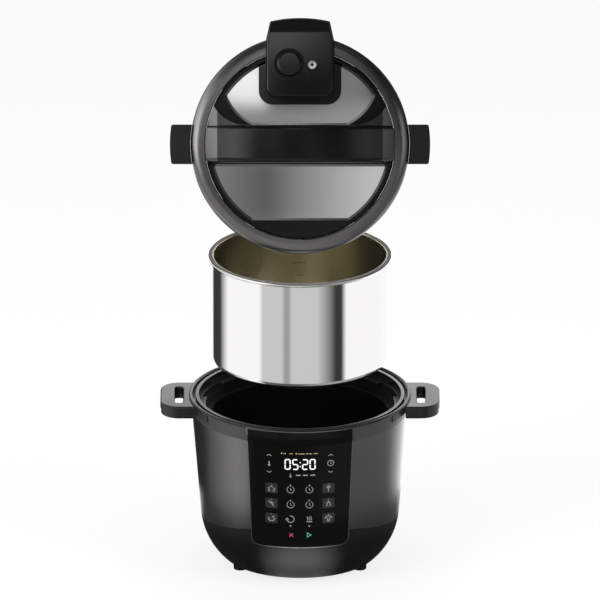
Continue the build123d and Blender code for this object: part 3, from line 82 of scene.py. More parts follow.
class Shade:
    """A material with one Principled shader and short ways to feed it."""

    def __init__(self, name, color, roughness, metallic=0.0, specular=0.5):
        self.material = bpy.data.materials.new(name)
        self.material.use_nodes = True
        self.nodes = self.material.node_tree.nodes
        self.links = self.material.node_tree.links
        self.bsdf = self.nodes["Principled BSDF"]
        self.put("Base Color", (*color, 1.0))
        self.put("Roughness", roughness)
        self.put("Metallic", metallic)
        self.put("Specular IOR Level", specular)
        self.space = self.nodes.new("ShaderNodeTexCoord").outputs["Object"]

    def put(self, socket, value):
        """Sets a shader socket to one value all over, or links it to an output."""
        if isinstance(value, bpy.types.NodeSocket):
            self.links.new(value, self.bsdf.inputs[socket])
        else:
            self.bsdf.inputs[socket].default_value = value

    def node(self, kind, feeds=(), **settings):
        """A node with its settings, its inputs fed with values or outputs by name or number."""
        made = self.nodes.new(kind)
        for key, value in settings.items():
            setattr(made, key, value)
        for key, value in dict(feeds).items():
            if isinstance(value, bpy.types.NodeSocket):
                self.links.new(value, made.inputs[key])
            else:
                made.inputs[key].default_value = value
        return made

    def math(self, operation, first, second=0.0):
        return self.node("ShaderNodeMath", {0: first, 1: second}, operation=operation).outputs[0]

    def lid_space(self):
        """Coordinates about the lid's axis, with Z out of its top."""
        mapping = self.node(
            "ShaderNodeMapping",
            {"Vector": self.space, "Location": LID_CENTRE, "Rotation": (LID_TILT, 0.0, 0.0)},
            vector_type="TEXTURE",
        )
        self.space = mapping.outputs[0]

    def round_space(self):
        """Coordinates unrolled about the Z axis: angle, radius and height."""
        split = self.node("ShaderNodeSeparateXYZ", {0: self.space})
        angle = self.math("ARCTAN2", split.outputs[0], split.outputs[1])
        flat = self.node("ShaderNodeCombineXYZ", {0: split.outputs[0], 1: split.outputs[1]})
        length = self.node("ShaderNodeVectorMath", {0: flat.outputs[0]}, operation="LENGTH")
        unrolled = {0: angle, 1: length.outputs["Value"], 2: split.outputs[2]}
        return self.node("ShaderNodeCombineXYZ", unrolled).outputs[0]

    def noise(self, scale, stretch=(1.0, 1.0, 1.0), space=None, detail=3.0):
        """Noise whose grain is stretched along the axes of a space."""
        sizes = [scale * share for share in stretch]
        mapping = self.node("ShaderNodeMapping", {"Vector": space or self.space, "Scale": sizes})
        feeds = {"Vector": mapping.outputs[0], "Scale": 1.0, "Detail": detail}
        return self.node("ShaderNodeTexNoise", feeds).outputs[0]

    def spread(self, value, low, high, from_low=0.3, from_high=0.7):
        """A noise value spread between two numbers."""
        feeds = {"Value": value, "From Min": from_low, "From Max": from_high, "To Min": low, "To Max": high}
        return self.node("ShaderNodeMapRange", feeds).outputs[0]

    def blend(self, share, first, second):
        """A colour between two colours."""
        mix = self.node("ShaderNodeMix", data_type="RGBA")
        self.links.new(share, mix.inputs[0])
        mix.inputs[6].default_value = (*first, 1.0)
        mix.inputs[7].default_value = (*second, 1.0)
        return mix.outputs[2]

    def bump(self, height, strength, distance):
        """Fine relief."""
        made = self.node("ShaderNodeBump", {"Height": height, "Strength": strength, "Distance": distance})
        self.put("Normal", made.outputs[0])


def moulded(name, color, roughness, specular, grain=1800.0, relief=0.12):
    """Moulded plastic: fine spark-eroded grain, slightly uneven gloss and a faint tone change."""
    shade = Shade(name, color, roughness, specular=specular)
    fine = shade.noise(grain)
    broad = shade.noise(14.0)
    shade.put("Roughness", shade.spread(broad, roughness * 0.88, roughness * 1.12))
    shade.put("Base Color", shade.blend(broad, [c * 0.85 for c in color], [c * 1.2 for c in color]))
    shade.bump(fine, relief, 0.00006)
    return shade.material


def brushed(name, color, roughness, stretch, round_about=None, scale=900.0, relief=0.1, spread=0.25):
    """Brushed metal: long fine scratches along one direction, in tone, gloss and relief."""
    shade = Shade(name, color, roughness, metallic=1.0)
    if round_about == "lid":
        shade.lid_space()
    space = shade.round_space() if round_about else shade.space
    lines = shade.noise(scale, stretch, space, detail=4.0)
    broad = shade.noise(9.0)
    shade.put("Base Color", shade.blend(lines, [c * (1 - spread / 2) for c in color], color))
    shade.put("Roughness", shade.spread(broad, roughness * 0.85, roughness * 1.2))
    shade.bump(lines, relief, 0.00004)
    return shade.material


def plain(name, color, roughness, metallic=0.0, specular=0.5, scale=220.0):
    """Small inner parts: a tone that varies a little and a fine cast or moulded grain."""
    shade = Shade(name, color, roughness, metallic, specular)
    mottle = shade.noise(scale)
    darker = [c * 0.82 for c in color]
    lighter = [min(1.0, c * 1.12) for c in color]
    shade.put("Base Color", shade.blend(mottle, darker, lighter))
    shade.put("Roughness", shade.spread(mottle, roughness * 0.85, min(1.0, roughness * 1.15)))
    shade.bump(mottle, 0.1, 0.0001)
    return shade.material


def lit(name, color, strength):
    """A backlit mark: its own colour, and a glow with the faint unevenness of a light guide."""
    shade = Shade(name, color, 0.4)
    uneven = shade.spread(shade.noise(260.0), strength * 0.85, strength * 1.1)
    shade.put("Emission Color", (*color, 1.0))
    shade.put("Emission Strength", uneven)
    return shade.material


def pot_metal():
    """Polished stainless steel, brushed round the pot, darker, warmer in colour and duller inside."""
    shade = Shade("pot_steel", POT_OUTSIDE, 0.1, metallic=1.0)
    lines = shade.noise(1100.0, (0.02, 1.0, 1.0), shade.round_space(), detail=4.0)
    level = {0: shade.space, 1: (1.0, 1.0, 0.0)}
    position = shade.node("ShaderNodeVectorMath", level, operation="MULTIPLY").outputs[0]
    normal = shade.nodes["Texture Coordinate"].outputs["Normal"]
    outward = shade.node("ShaderNodeVectorMath", {0: position, 1: normal}, operation="DOT_PRODUCT")
    inside = shade.math("LESS_THAN", outward.outputs["Value"], -0.01)
    shade.put("Base Color", shade.blend(inside, POT_OUTSIDE, POT_INSIDE))
    smooth = shade.spread(lines, 0.05, 0.11)
    dull = shade.math("MULTIPLY", inside, 0.16)
    shade.put("Roughness", shade.math("ADD", smooth, dull))
    shade.bump(lines, 0.03, 0.00002)
    return shade.material


POT_OUTSIDE = (0.93, 0.922, 0.905)
POT_INSIDE = (0.76, 0.71, 0.57)
MATERIALS = {
    "housing": moulded("housing_black", (0.008, 0.008, 0.0084), 0.32, 0.5),
    "lower": moulded("lower_black", (0.006, 0.006, 0.0062), 0.3, 0.45),
    "matte": moulded("fin_black", (0.008, 0.008, 0.0084), 0.55, 0.3),
    "satin": moulded("satin_black", (0.003, 0.003, 0.0031), 0.22, 0.3),
    "steam": moulded("steam_black", (0.003, 0.003, 0.0031), 0.16, 0.5),
    "cover": moulded("cover_black", (0.004, 0.004, 0.0042), 0.3, 0.25),
    "collar": moulded("collar_charcoal", (0.042, 0.042, 0.043), 0.32, 0.5),
    "ring": brushed("ring_gunmetal", (0.22, 0.215, 0.21), 0.27, (0.02, 1.0, 1.0), "lid", spread=0.12),
    "ends": brushed("end_gunmetal", (0.13, 0.128, 0.126), 0.3, (0.02, 1.0, 1.0), "lid", spread=0.12),
    "band": brushed("band_black_steel", (0.2, 0.197, 0.192), 0.26, (0.02, 1.0, 1.0), "base", spread=0.2),
    "gloss": moulded("panel_gloss", (0.004, 0.004, 0.0045), 0.1, 0.16, grain=60.0, relief=0.02),
    "trim": brushed("trim_silver", (0.3, 0.3, 0.295), 0.3, (1.0, 1.0, 0.05)),
    "pot": pot_metal(),
    "window": brushed("window_steel", (0.9, 0.905, 0.9), 0.1, (0.02, 1.0, 1.0), spread=0.08, relief=0.03),
    "steel": brushed("small_steel", (0.58, 0.58, 0.57), 0.28, (1.0, 1.0, 0.1)),
    "white_float": plain("float_white", (0.93, 0.93, 0.92), 0.35),
    "bayonet": moulded("bayonet_black", (0.014, 0.014, 0.014), 0.4, 0.5),
    "heater": plain("cast_aluminium", (0.16, 0.16, 0.162), 0.5, metallic=1.0),
    "disc": plain("disc_aluminium", (0.3, 0.3, 0.3), 0.4, metallic=1.0),
    # The inner housing is coloured nearly black: painted shade for the dark recess inside the base.
    "chamber": moulded("chamber_black_painted_shade", (0.006, 0.006, 0.0062), 0.5, 0.25, grain=700.0, relief=0.2),
    "brass": plain("brass", (0.72, 0.55, 0.24), 0.3, metallic=1.0),
    "silicone": plain("silicone", (0.68, 0.68, 0.65), 0.45),
    "rubber": moulded("foot_rubber", (0.012, 0.012, 0.012), 0.75, 0.3, grain=900.0, relief=0.3),
    "board": plain("board_green", (0.02, 0.13, 0.06), 0.4),
    "part": plain("part_black", (0.03, 0.03, 0.032), 0.45),
    "digits": lit("display_white", (0.85, 0.86, 0.88), 0.36),
    "icons": lit("icon_grey", (0.3, 0.3, 0.3), 0.11),
    "keys": moulded("key_grey", (0.024, 0.024, 0.025), 0.4, 0.3),
    "amber": lit("mark_amber", (0.38, 0.32, 0.15), 0.2),
    "red": lit("mark_red", (0.4, 0.03, 0.1), 0.24),
    "green": lit("mark_green", (0.05, 0.32, 0.17), 0.24),
    "etched": plain("etched_steel", (0.2, 0.19, 0.16), 0.5, metallic=1.0),
}

FINISHES = {
    "lower": "lower_housing",
    "housing": "rim_housing left_handle_grip right_handle_grip bottom_cover power_inlet",
    "matte": "left_fin right_fin",
    "satin": "lid_handle",
    "cover": "lid_cover",
    "steam": "steam_base steam_housing steam_button",
    "collar": "collar_band",
    "ring": "lid_ring",
    "ends": "handle_end_left handle_end_right",
    "band": "outer_band",
    "gloss": "control_panel panel_header",
    "trim": "panel_frame",
    "pot": "inner_pot",
    "window": "steel_lid",
    "steel": "seal_rack exhaust_pipe exhaust_nut anti_block_shield float_guide pressure_weight valve_stem "
    "button_spring sensor_spring sensor_bracket heater_supports bottom_screws handle_screws lid_screws",
    "white_float": "float_valve",
    "bayonet": "bayonet_ring",
    "heater": "heating_plate temperature_sensor",
    "disc": "pot_base_disc",
    "chamber": "inner_housing",
    "brass": "inlet_pins element_terminals",
    "silicone": "sealing_ring float_valve_cap",
    "rubber": "rubber_feet",
    "board": "control_board power_board",
    "part": "relay pressure_switch thermal_fuse display_module",
}

for finish, names in FINISHES.items():
    for name in names.split():
        node_materials = frame["nodes"][name].data.materials
        node_materials.clear()
        node_materials.append(MATERIALS[finish])


# Marks on the panel, the pot and the lid, and small pieces


def surface_of(name):
    """Search tree over a CAD node's faces."""
    mesh = frame["nodes"][name].data
    return BVHTree.FromPolygons([v.co for v in mesh.vertices], [f.vertices for f in mesh.polygons])


PANEL = surface_of("control_panel")
POT = surface_of("inner_pot")
BUTTON = surface_of("steam_button")
STEAM_FACE = surface_of("steam_housing")
FLOAT = surface_of("float_valve")
MARK_LIFT = 0.1 * MM


def on_panel(x, z):
    """Point on the panel's face, seen from the front."""
    hit = PANEL.ray_cast(Vector((x * MM, -1.0, z * MM)), Vector((0.0, 1.0, 0.0)))[0]
    return hit - Vector((0.0, MARK_LIFT, 0.0))


def in_pot(x, z):
    """Point on the pot's inner wall at the back: x along the wall, z above the pot's lowest point."""
    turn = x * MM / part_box("inner_pot")[1][0]
    away = Vector((math.sin(turn), math.cos(turn), 0.0))
    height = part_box("inner_pot")[0][2] + z * MM
    hit = POT.ray_cast(Vector((0.0, 0.0, height)), away)[0]
    return hit - MARK_LIFT * away


LID_REARWARD = Vector((0.0, math.cos(LID_TILT), math.sin(LID_TILT)))


def on_lid(node, surface, x, y):
    """Point on top of a round piece of the lid, from its middle, y towards the lid's rear."""
    low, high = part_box(node)
    middle = (Vector(low) + Vector(high)) / 2
    start = middle + x * MM * Vector((1.0, 0.0, 0.0)) + y * MM * LID_REARWARD + 0.05 * LID_AXIS
    return surface.ray_cast(start, -LID_AXIS)[0] + MARK_LIFT * LID_AXIS


def on_button(x, y):
    return on_lid("steam_button", BUTTON, x, y)


def on_float(x, y):
    return on_lid("float_valve", FLOAT, x, y)


class Marks:
    """Thin marks of one colour, drawn flat in millimetres and laid on a surface."""

    def __init__(self, name, finish, body, lay):
        self.name = name
        self.finish = finish
        self.body = body
        self.lay = lay
        self.points = []
        self.faces = []

    def band(self, one_side, other_side):
        """A strip of small faces between two rows of points."""
        first = len(self.points)
        for pair in zip(one_side, other_side):
            self.points += pair
        for i in range(first, len(self.points) - 2, 2):
            self.faces.append((i, i + 1, i + 3, i + 2))

    def line(self, path, width):
        """A stroke of even width with mitred corners. It closes where the path ends at its start."""
        closed = path[0] == path[-1]
        near, far = [], []
        for i, (x, z) in enumerate(path):
            before = path[i - 1] if i else (path[-2] if closed else path[0])
            after = path[i + 1] if i + 1 < len(path) else (path[1] if closed else path[-1])
            ahead = Vector((after[0] - x, after[1] - z))
            behind = Vector((x - before[0], z - before[1]))
            ahead = ahead.normalized() if ahead.length else behind.normalized()
            behind = behind.normalized() if behind.length else ahead
            along = (ahead + behind).normalized()
            reach = width / 2 / max(0.5, along.dot(ahead))
            near.append((x - along.y * reach, z + along.x * reach))
            far.append((x + along.y * reach, z - along.x * reach))
        self.band(near, far)

    def arc(self, x, z, radius, width, start=0, end=360, squeeze=1.0):
        """A stroke along part of a circle, in degrees from the right, anticlockwise."""
        turns = [math.radians(start + (end - start) * i / 24) for i in range(25)]
        path = [(x + radius * math.cos(t), z + squeeze * radius * math.sin(t)) for t in turns]
        if end - start == 360:
            path[-1] = path[0]
        self.line(path, width)

    def dot(self, x, z, radius, squeeze=1.0):
        """A filled circle."""
        turns = [math.pi * i / 12 for i in range(13)]
        top = [(x + radius * math.cos(t), z + squeeze * radius * math.sin(t)) for t in turns]
        low = [(x + radius * math.cos(t), z - squeeze * radius * math.sin(t)) for t in turns]
        self.band(top, low)

    def key(self, x, z, width, height, corner):
        """A filled rectangle with round corners."""
        ends = []
        for i in range(7):
            turn = math.radians(90 * i / 6)
            inset, drop = corner * (1 - math.sin(turn)), corner * (1 - math.cos(turn))
            ends.append((width / 2 - inset, height / 2 - drop))
        columns = [(-dx, dz) for dx, dz in reversed(ends)] + [(0.0, height / 2)] + ends
        self.band([(x + dx, z + dz) for dx, dz in columns], [(x + dx, z - dz) for dx, dz in columns])

    def build(self):
        """Makes the piece: each face turned outwards, with a little thickness sunk into the surface."""
        faces = []
        for face in self.faces:
            corners = [self.points[i] for i in face]
            area = sum(a[0] * b[1] - b[0] * a[1] for a, b in zip(corners, corners[1:] + corners[:1]))
            faces.append(face if area > 0 else tuple(reversed(face)))
        mesh = bpy.data.meshes.new(self.name)
        mesh.from_pydata([self.lay(*point) for point in self.points], [], faces)
        mesh.materials.append(MATERIALS[self.finish])
        made = bpy.data.objects.new(self.name, mesh)
        bpy.context.collection.objects.link(made)
        thick = made.modifiers.new("thickness", "SOLIDIFY")
        thick.thickness = 2 * MARK_LIFT
        thick.offset = -1.0
        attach(made, self.body)


SEGMENTS = {
    "top": ((0, 2), (1, 2)),
    "upper_left": ((0, 1), (0, 2)),
    "upper_right": ((1, 1), (1, 2)),
    "middle": ((0, 1), (1, 1)),
    "lower_left": ((0, 0), (0, 1)),
    "lower_right": ((1, 0), (1, 1)),
    "bottom": ((0, 0), (1, 0)),
}
NUMERALS = {
    "0": "top upper_left upper_right lower_left lower_right bottom",
    "2": "top upper_right middle lower_left bottom",
    "5": "top upper_left middle lower_right bottom",
}
DIGIT_W, DIGIT_H, DIGIT_STROKE, DIGIT_NOTCH = 5.9, 12.6, 1.5, 0.5
DISPLAY_Z = 165.2


def display():
    """Lit digits of the clock."""
    digits = Marks("display_digits", "digits", "base", on_panel)
    for left, numeral in ((-17.8, "0"), (-8.6, "5"), (3.2, "2"), (12.1, "0")):
        for segment in NUMERALS[numeral].split():
            (x0, z0), (x1, z1) = SEGMENTS[segment]
            level = z0 == z1
            trim_x, trim_z = (DIGIT_NOTCH, 0) if level else (0, DIGIT_NOTCH)
            low_z = DISPLAY_Z - DIGIT_H / 2
            digits.line(
                [
                    (left + x0 * DIGIT_W + trim_x, low_z + z0 * DIGIT_H / 2 + trim_z),
                    (left + x1 * DIGIT_W - trim_x, low_z + z1 * DIGIT_H / 2 - trim_z),
                ],
                DIGIT_STROKE,
            )
    for rise in (-2.6, 2.6):
        digits.dot(0.2, DISPLAY_Z + rise, 0.75)
    digits.build()


def thermometer(marks, x, z, size):
    """A thermometer: a stem with a round bulb."""
    marks.line([(x, z - 0.4 * size), (x, z + 1.6 * size)], 0.7 * size)
    marks.dot(x, z - 0.9 * size, 0.75 * size)


def side_column(marks, x, middle):
    """Up and down arrows round the middle of a setting."""
    for z, rise in ((middle + 10.8, 1.7), (middle - 11.3, -1.7)):
        marks.line([(x - 2.6, z - rise / 2), (x, z + rise / 2), (x + 2.6, z - rise / 2)], 0.75)


# Pictures on the framed keys, as strokes about the key's middle in millimetres
POT_PICTURE = (
    ((-3.6, 0.6), (-3.0, -3.4), (3.0, -3.4), (3.6, 0.6), (-3.6, 0.6)),
    ((-1.6, 1.8), (0, 3.2), (1.6, 1.8)),
)
BRANCH_PICTURE = (
    ((-3.4, 3.2), (-1.4, 0.8), (1.0, -0.6), (2.6, -3.4)),
    ((-1.0, 2.8), (0.8, 1.0), (2.8, 0.6)),
)
BOWL_PICTURE = (
    ((-4.0, 0.4), (-2.4, -3.0), (2.4, -3.0), (4.0, 0.4), (-4.0, 0.4)),
    ((0.4, 1.2), (3.2, 3.6)),
)
FORK_PICTURE = (
    ((0, -4.0), (0, 0.6)),
    ((-1.8, 3.6), (-1.8, 1.4), (0, 0.6), (1.8, 1.4), (1.8, 3.6)),
    ((0, 3.6), (0, 1.0)),
)
BELL_PICTURE = (
    ((-3.0, -2.6), (3.0, -2.6)),
    ((-2.2, -1.4), (-1.2, 1.6), (1.2, 1.6), (2.2, -1.4)),
    ((0, 1.8), (0, 3.8)),
)
MUSHROOM_PICTURE = (
    ((-3.8, 0.6), (-2.6, 2.8), (0, 3.6), (2.6, 2.8), (3.8, 0.6), (-3.8, 0.6)),
    ((-1.0, 0.2), (-1.2, -3.4), (1.2, -3.4), (1.0, 0.2)),
)
# Rows and columns of the panel, in millimetres
TOP_ROW, MIDDLE_ROW, BOTTOM_ROW = 132.5, 112.7, 92.9
OUTER_COLUMN = 34.1
INNER_LEFT, INNER_RIGHT = -11.3, 11.2
TEMPERATURE_X, TIMER_X, SETTINGS_Z = -37.0, 36.7, 165.0
LAMP_Z = 84.0
KEY_PICTURES = {
    (-OUTER_COLUMN, TOP_ROW): POT_PICTURE,
    (-OUTER_COLUMN, MIDDLE_ROW): BRANCH_PICTURE,
    (-OUTER_COLUMN, BOTTOM_ROW): BOWL_PICTURE,
    (OUTER_COLUMN, TOP_ROW): FORK_PICTURE,
    (OUTER_COLUMN, MIDDLE_ROW): BELL_PICTURE,
    (OUTER_COLUMN, BOTTOM_ROW): MUSHROOM_PICTURE,
}
KEY_W, KEY_H, KEY_CORNER = 14.6, 13.0, 1.8
ROUND_KEYS = [(x, z) for x in (INNER_LEFT, INNER_RIGHT) for z in (TOP_ROW, MIDDLE_ROW)]


def panel_marks():
    """Printed keys and indicators round the display."""
    keys = Marks("panel_keys", "keys", "base", on_panel)
    icons = Marks("panel_icons", "icons", "base", on_panel)
    for (x, z), strokes in KEY_PICTURES.items():
        keys.key(x, z, KEY_W, KEY_H, KEY_CORNER)
        for path in strokes:
            icons.line([(x + dx, z + dz - 0.4) for dx, dz in path], 0.95)
        icons.dot(x, z + 5.3, 0.5)
    for x, z in ROUND_KEYS:
        icons.arc(x, z - 0.6, 4.3, 0.65, 118, 422)
        icons.line([(x, z + 1.6), (x, z - 0.6), (x + 1.5, z - 1.8)], 0.7)
        icons.dot(x, z + 4.9, 0.9)
    icons.arc(INNER_LEFT, BOTTOM_ROW, 4.3, 0.9, -200, 100)
    icons.line([(-17.4, 91.4), (-15.3, 94.4), (-13.3, 91.8)], 0.8)
    icons.dot(INNER_LEFT, LAMP_Z, 1.0)
    icons.line([(7.6, 89.6), (14.8, 89.6)], 1.0)
    for dx in (-2.2, 0.0, 2.2):
        icons.line([(11.2 + dx, 91.2), (11.7 + dx, 92.8), (10.7 + dx, 94.6), (11.2 + dx, 96.4)], 0.75)
    icons.dot(INNER_RIGHT, LAMP_Z, 1.0)
    side_column(icons, TEMPERATURE_X, SETTINGS_Z)
    side_column(icons, TIMER_X, SETTINGS_Z)
    thermometer(icons, TEMPERATURE_X, 164.6, 1.9)
    icons.arc(TIMER_X, 165.2, 3.6, 0.75)
    icons.line([(TIMER_X, 167.4), (TIMER_X, 165.2), (38.2, 164.4)], 0.7)
    thermometer(icons, -11.4, 150.6, 1.6)
    for x in (-2.0, 6.5, 15.4):
        icons.line([(x - 2.8, 151.0), (x + 2.8, 151.0)], 1.5)
    keys.build()
    icons.build()

    amber = Marks("panel_mode_lights", "amber", "base", on_panel)
    for x, length in ((-14.6, 12.0), (1.4, 9.0), (15.4, 11.0)):
        amber.dot(x - length / 2 - 1.4, 179.4, 0.95)
        amber.line([(x - length / 2 + 0.6, 179.2), (x + length / 2, 179.2)], 1.0)
    amber.build()
    stop = Marks("stop_mark", "red", "base", on_panel)
    for slope in (1, -1):
        stop.line([(-12.6, 72.1 - 2.2 * slope), (-8.2, 72.1 + 2.2 * slope)], 1.3)
    stop.build()
    start = Marks("start_mark", "green", "base", on_panel)
    start.line([(8.8, 69.4), (13.2, 72.1), (8.8, 74.8), (8.8, 69.4)], 1.1)
    start.build()


def pot_marks():
    """Level lines etched in the pot's wall."""
    etched = Marks("pot_level_lines", "etched", "pot", in_pot)
    for z in (88.0, 104.0):
        etched.line([(-9.0, z), (-3.0, z), (3.0, z), (9.0, z)], 0.9)
    for i in range(4):
        z = 40.0 + 16.0 * i
        etched.line([(-4.0, z), (0.0, z), (4.0, z)], 0.7)
    etched.build()


def button_mark():
    """Rising steam, moulded in the button's dish."""
    steam = Marks("steam_mark", "matte", "steam_button", on_button)
    for dx in (-2.4, 0.0, 2.4):
        steam.line([(dx, -3.0), (dx + 0.7, -1.4), (dx - 0.7, 0.6), (dx, 2.4)], 0.7)
    steam.build()


# The lip's section: distance from the button's middle and height over the steam housing's face
LIP_SECTION = (
    (15.9, -0.3),
    (15.95, 0.5),
    (16.2, 0.85),
    (16.7, 1.0),
    (17.2, 0.85),
    (17.6, 0.45),
    (17.9, -0.3),
)
LIP_STEPS = 72


def button_lip():
    """The raised lip round the steam button."""
    points = []
    faces = []
    across = len(LIP_SECTION)
    for i in range(LIP_STEPS):
        turn = math.tau * i / LIP_STEPS
        for radius, height in LIP_SECTION:
            spot = on_lid("steam_button", STEAM_FACE, radius * math.cos(turn), radius * math.sin(turn))
            points.append(spot + (height * MM - MARK_LIFT) * LID_AXIS)
        for j in range(across - 1):
            a = i * across + j
            b = (i + 1) % LIP_STEPS * across + j
            faces.append((a, a + 1, b + 1, b))
    mesh = bpy.data.meshes.new("button_lip")
    mesh.from_pydata(points, [], faces)
    mesh.materials.append(MATERIALS["gloss"])
    mesh.shade_smooth()
    made = bpy.data.objects.new("button_lip", mesh)
    bpy.context.collection.objects.link(made)
    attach(made, "lid")


def paint_float_hole_shade():
    """A black disc at the bottom of the hole down the float valve's middle: painted shade, as the hole's
    own walls are white.
    """
    hole = Marks("float_hole_painted_shade", "rubber", "float_valve", on_float)
    # Painted shade: a black disc that makes the hole look dark.
    hole.dot(0.0, 0.0, 1.75)
    hole.build()


SPRING_TURNS = 6
SPRING_WIRE = 0.7
SPRING_SIDES = 8
SPRING_STEPS = 28


def sensor_coil():
    """The coil spring under the temperature sensor, in its sleeve's place."""
    low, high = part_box("sensor_spring")
    middle_x, middle_y = (low[0] + high[0]) / 2, (low[1] + high[1]) / 2
    wire = SPRING_WIRE * MM
    radius = (high[0] - low[0]) / 2 - wire
    rise = high[2] - low[2] - 2 * wire
    count = SPRING_TURNS * SPRING_STEPS
    points = []
    faces = []
    for i in range(count + 1):
        turn = math.tau * i / SPRING_STEPS
        for j in range(SPRING_SIDES):
            around = math.tau * j / SPRING_SIDES
            reach = radius + wire * math.cos(around)
            height = low[2] + wire + rise * i / count + wire * math.sin(around)
            points.append((middle_x + reach * math.cos(turn), middle_y + reach * math.sin(turn), height))
        for j in range(SPRING_SIDES):
            a = i * SPRING_SIDES + j
            b = i * SPRING_SIDES + (j + 1) % SPRING_SIDES
            if i < count:
                faces.append((a, a + SPRING_SIDES, b + SPRING_SIDES, b))
    faces.append(tuple(range(SPRING_SIDES)))
    faces.append(tuple(reversed(range(count * SPRING_SIDES, (count + 1) * SPRING_SIDES))))
    mesh = bpy.data.meshes.new("sensor_coil")
    mesh.from_pydata(points, [], faces)
    mesh.materials.append(MATERIALS["steel"])
    mesh.shade_smooth()
    made = bpy.data.objects.new("sensor_coil", mesh)
    bpy.context.collection.objects.link(made)
    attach(made, "base")
    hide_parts("sensor_spring")
    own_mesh(made)


display()
panel_marks()
pot_marks()
button_mark()
button_lip()
paint_float_hole_shade()
sensor_coil()


# Stage


FLOOR_HALF = 80.0
FLOOR_DROP = -0.2 * MM
FLOOR_GLOW = 0.82
WORLD_LIGHT, WORLD_SEEN = 0.55, 1.0


def floor():
    """A pale floor, white to the camera and to reflections, that keeps the object's shadow."""
    mesh = bpy.data.meshes.new("floor")
    half = FLOOR_HALF
    corners = [(x, y, FLOOR_DROP) for x, y in ((-half, -half), (half, -half), (half, half), (-half, half))]
    mesh.from_pydata(corners, [], [(0, 1, 2, 3)])
    made = bpy.data.objects.new("floor", mesh)
    bpy.context.collection.objects.link(made)
    shade = Shade("floor_white", (0.9, 0.9, 0.9), 0.9, specular=0.0)
    path = shade.node("ShaderNodeLightPath")
    seen = shade.math("MAXIMUM", path.outputs["Is Camera Ray"], path.outputs["Is Glossy Ray"])
    seen = shade.math("MAXIMUM", seen, path.outputs["Is Transmission Ray"])
    glow = shade.node("ShaderNodeEmission", {"Strength": 1.0})
    mix = shade.node("ShaderNodeMixShader", {0: shade.math("MULTIPLY", seen, FLOOR_GLOW)})
    shade.links.new(shade.bsdf.outputs[0], mix.inputs[1])
    shade.links.new(glow.outputs[0], mix.inputs[2])
    shade.links.new(mix.outputs[0], shade.nodes["Material Output"].inputs[0])
    mesh.materials.append(shade.material)


def world():
    """Even white light from all round, white where it is seen."""
    made = bpy.data.worlds.new("studio")
    bpy.context.scene.world = made
    made.use_nodes = True
    nodes, links = made.node_tree.nodes, made.node_tree.links
    path = nodes.new("ShaderNodeLightPath")
    seen = nodes.new("ShaderNodeMath")
    seen.operation = "MAXIMUM"
    links.new(path.outputs["Is Camera Ray"], seen.inputs[0])
    glossy = nodes.new("ShaderNodeMath")
    glossy.operation = "MAXIMUM"
    links.new(path.outputs["Is Glossy Ray"], glossy.inputs[0])
    links.new(path.outputs["Is Transmission Ray"], glossy.inputs[1])
    links.new(glossy.outputs[0], seen.inputs[1])
    strength = nodes.new("ShaderNodeMapRange")
    strength.inputs["To Min"].default_value = WORLD_LIGHT
    strength.inputs["To Max"].default_value = WORLD_SEEN
    links.new(seen.outputs[0], strength.inputs["Value"])
    links.new(strength.outputs[0], nodes["Background"].inputs["Strength"])
    nodes["Background"].inputs["Color"].default_value = (1.0, 1.0, 1.0, 1.0)


LAMP_AIM = Vector((0.0, 0.0, 0.3))


def softbox(name, place, width, power):
    """A square area lamp pointed at the object. The screen does its part in reflections."""
    light = bpy.data.lights.new(name, "AREA")
    light.shape = "RECTANGLE"
    light.size, light.size_y = width, width
    light.energy = power
    made = bpy.data.objects.new(name, light)
    made.location = place
    made.rotation_euler = (LAMP_AIM - Vector(place)).to_track_quat("-Z", "Y").to_euler()
    made.visible_glossy = False
    bpy.context.collection.objects.link(made)


# Round the set stands a screen of light and dark panels that only reflections see. At each level it has
# stops: the compass angle in degrees from the camera's side, positive to the right, and one of the
# panels' brightnesses.
SCREEN_RADIUS = 0.46
SCREEN_HEIGHT = 1.25
# The screen's section: distance from the middle and height, from under the base up to the roof.
# On the floor, steps of a fraction of a millimetre tell its zones apart.
SCREEN_SECTION = (
    (0.1, 0.0001),
    (0.13, 0.0003),
    (0.185, 0.0003),
    (0.2, 0.0005),
    (0.26, 0.0005),
    (0.29, 0.001),
    (SCREEN_RADIUS, 0.001),
    (SCREEN_RADIUS, SCREEN_HEIGHT),
)
BLACK = 0.04
DARK = 0.1
SHADE = 0.2
DIM = 0.35
GREY = 0.6
WHITE = 1.0
LAMP = 2.2
GLARE = 3.0
UNDER_STOPS = (
    (-180, BLACK),
    (-32, BLACK),
    (-14, GREY),
    (14, GREY),
    (32, BLACK),
    (180, BLACK),
)
FOOT_STOPS = (
    (-180, BLACK),
    (-35, BLACK),
    (-10, LAMP),
    (10, LAMP),
    (35, BLACK),
    (180, BLACK),
)
APRON_STOPS = (
    (-180, WHITE),
    (-140, WHITE),
    (-120, DARK),
    (120, DARK),
    (140, WHITE),
    (180, WHITE),
)
BASE_STOPS = (
    (-180, GREY),
    (-150, BLACK),
    (-115, BLACK),
    (-65, WHITE),
    (-55, WHITE),
    (-45, DARK),
    (0, DARK),
    (25, DIM),
    (100, DIM),
    (140, LAMP),
    (160, LAMP),
    (180, GREY),
)
POT_STOPS = (
    (-180, WHITE),
    (-170, WHITE),
    (-150, BLACK),
    (-120, BLACK),
    (-100, WHITE),
    (-50, WHITE),
    (-45, GREY),
    (-21, GREY),
    (-18, DIM),
    (-13, DIM),
    (-10, GREY),
    (20, GREY),
    (43, BLACK),
    (51, BLACK),
    (57, WHITE),
    (180, WHITE),
)
RIM_STOPS = (
    (-180, GLARE),
    (-140, LAMP),
    (-110, WHITE),
    (-65, GREY),
    (5, GREY),
    (15, DIM),
    (65, DIM),
    (110, WHITE),
    (140, GLARE),
    (180, GLARE),
)
GAP_STOPS = (
    (-180, SHADE),
    (-120, BLACK),
    (-80, GREY),
    (5, GREY),
    (15, DIM),
    (80, SHADE),
    (120, BLACK),
    (180, SHADE),
)
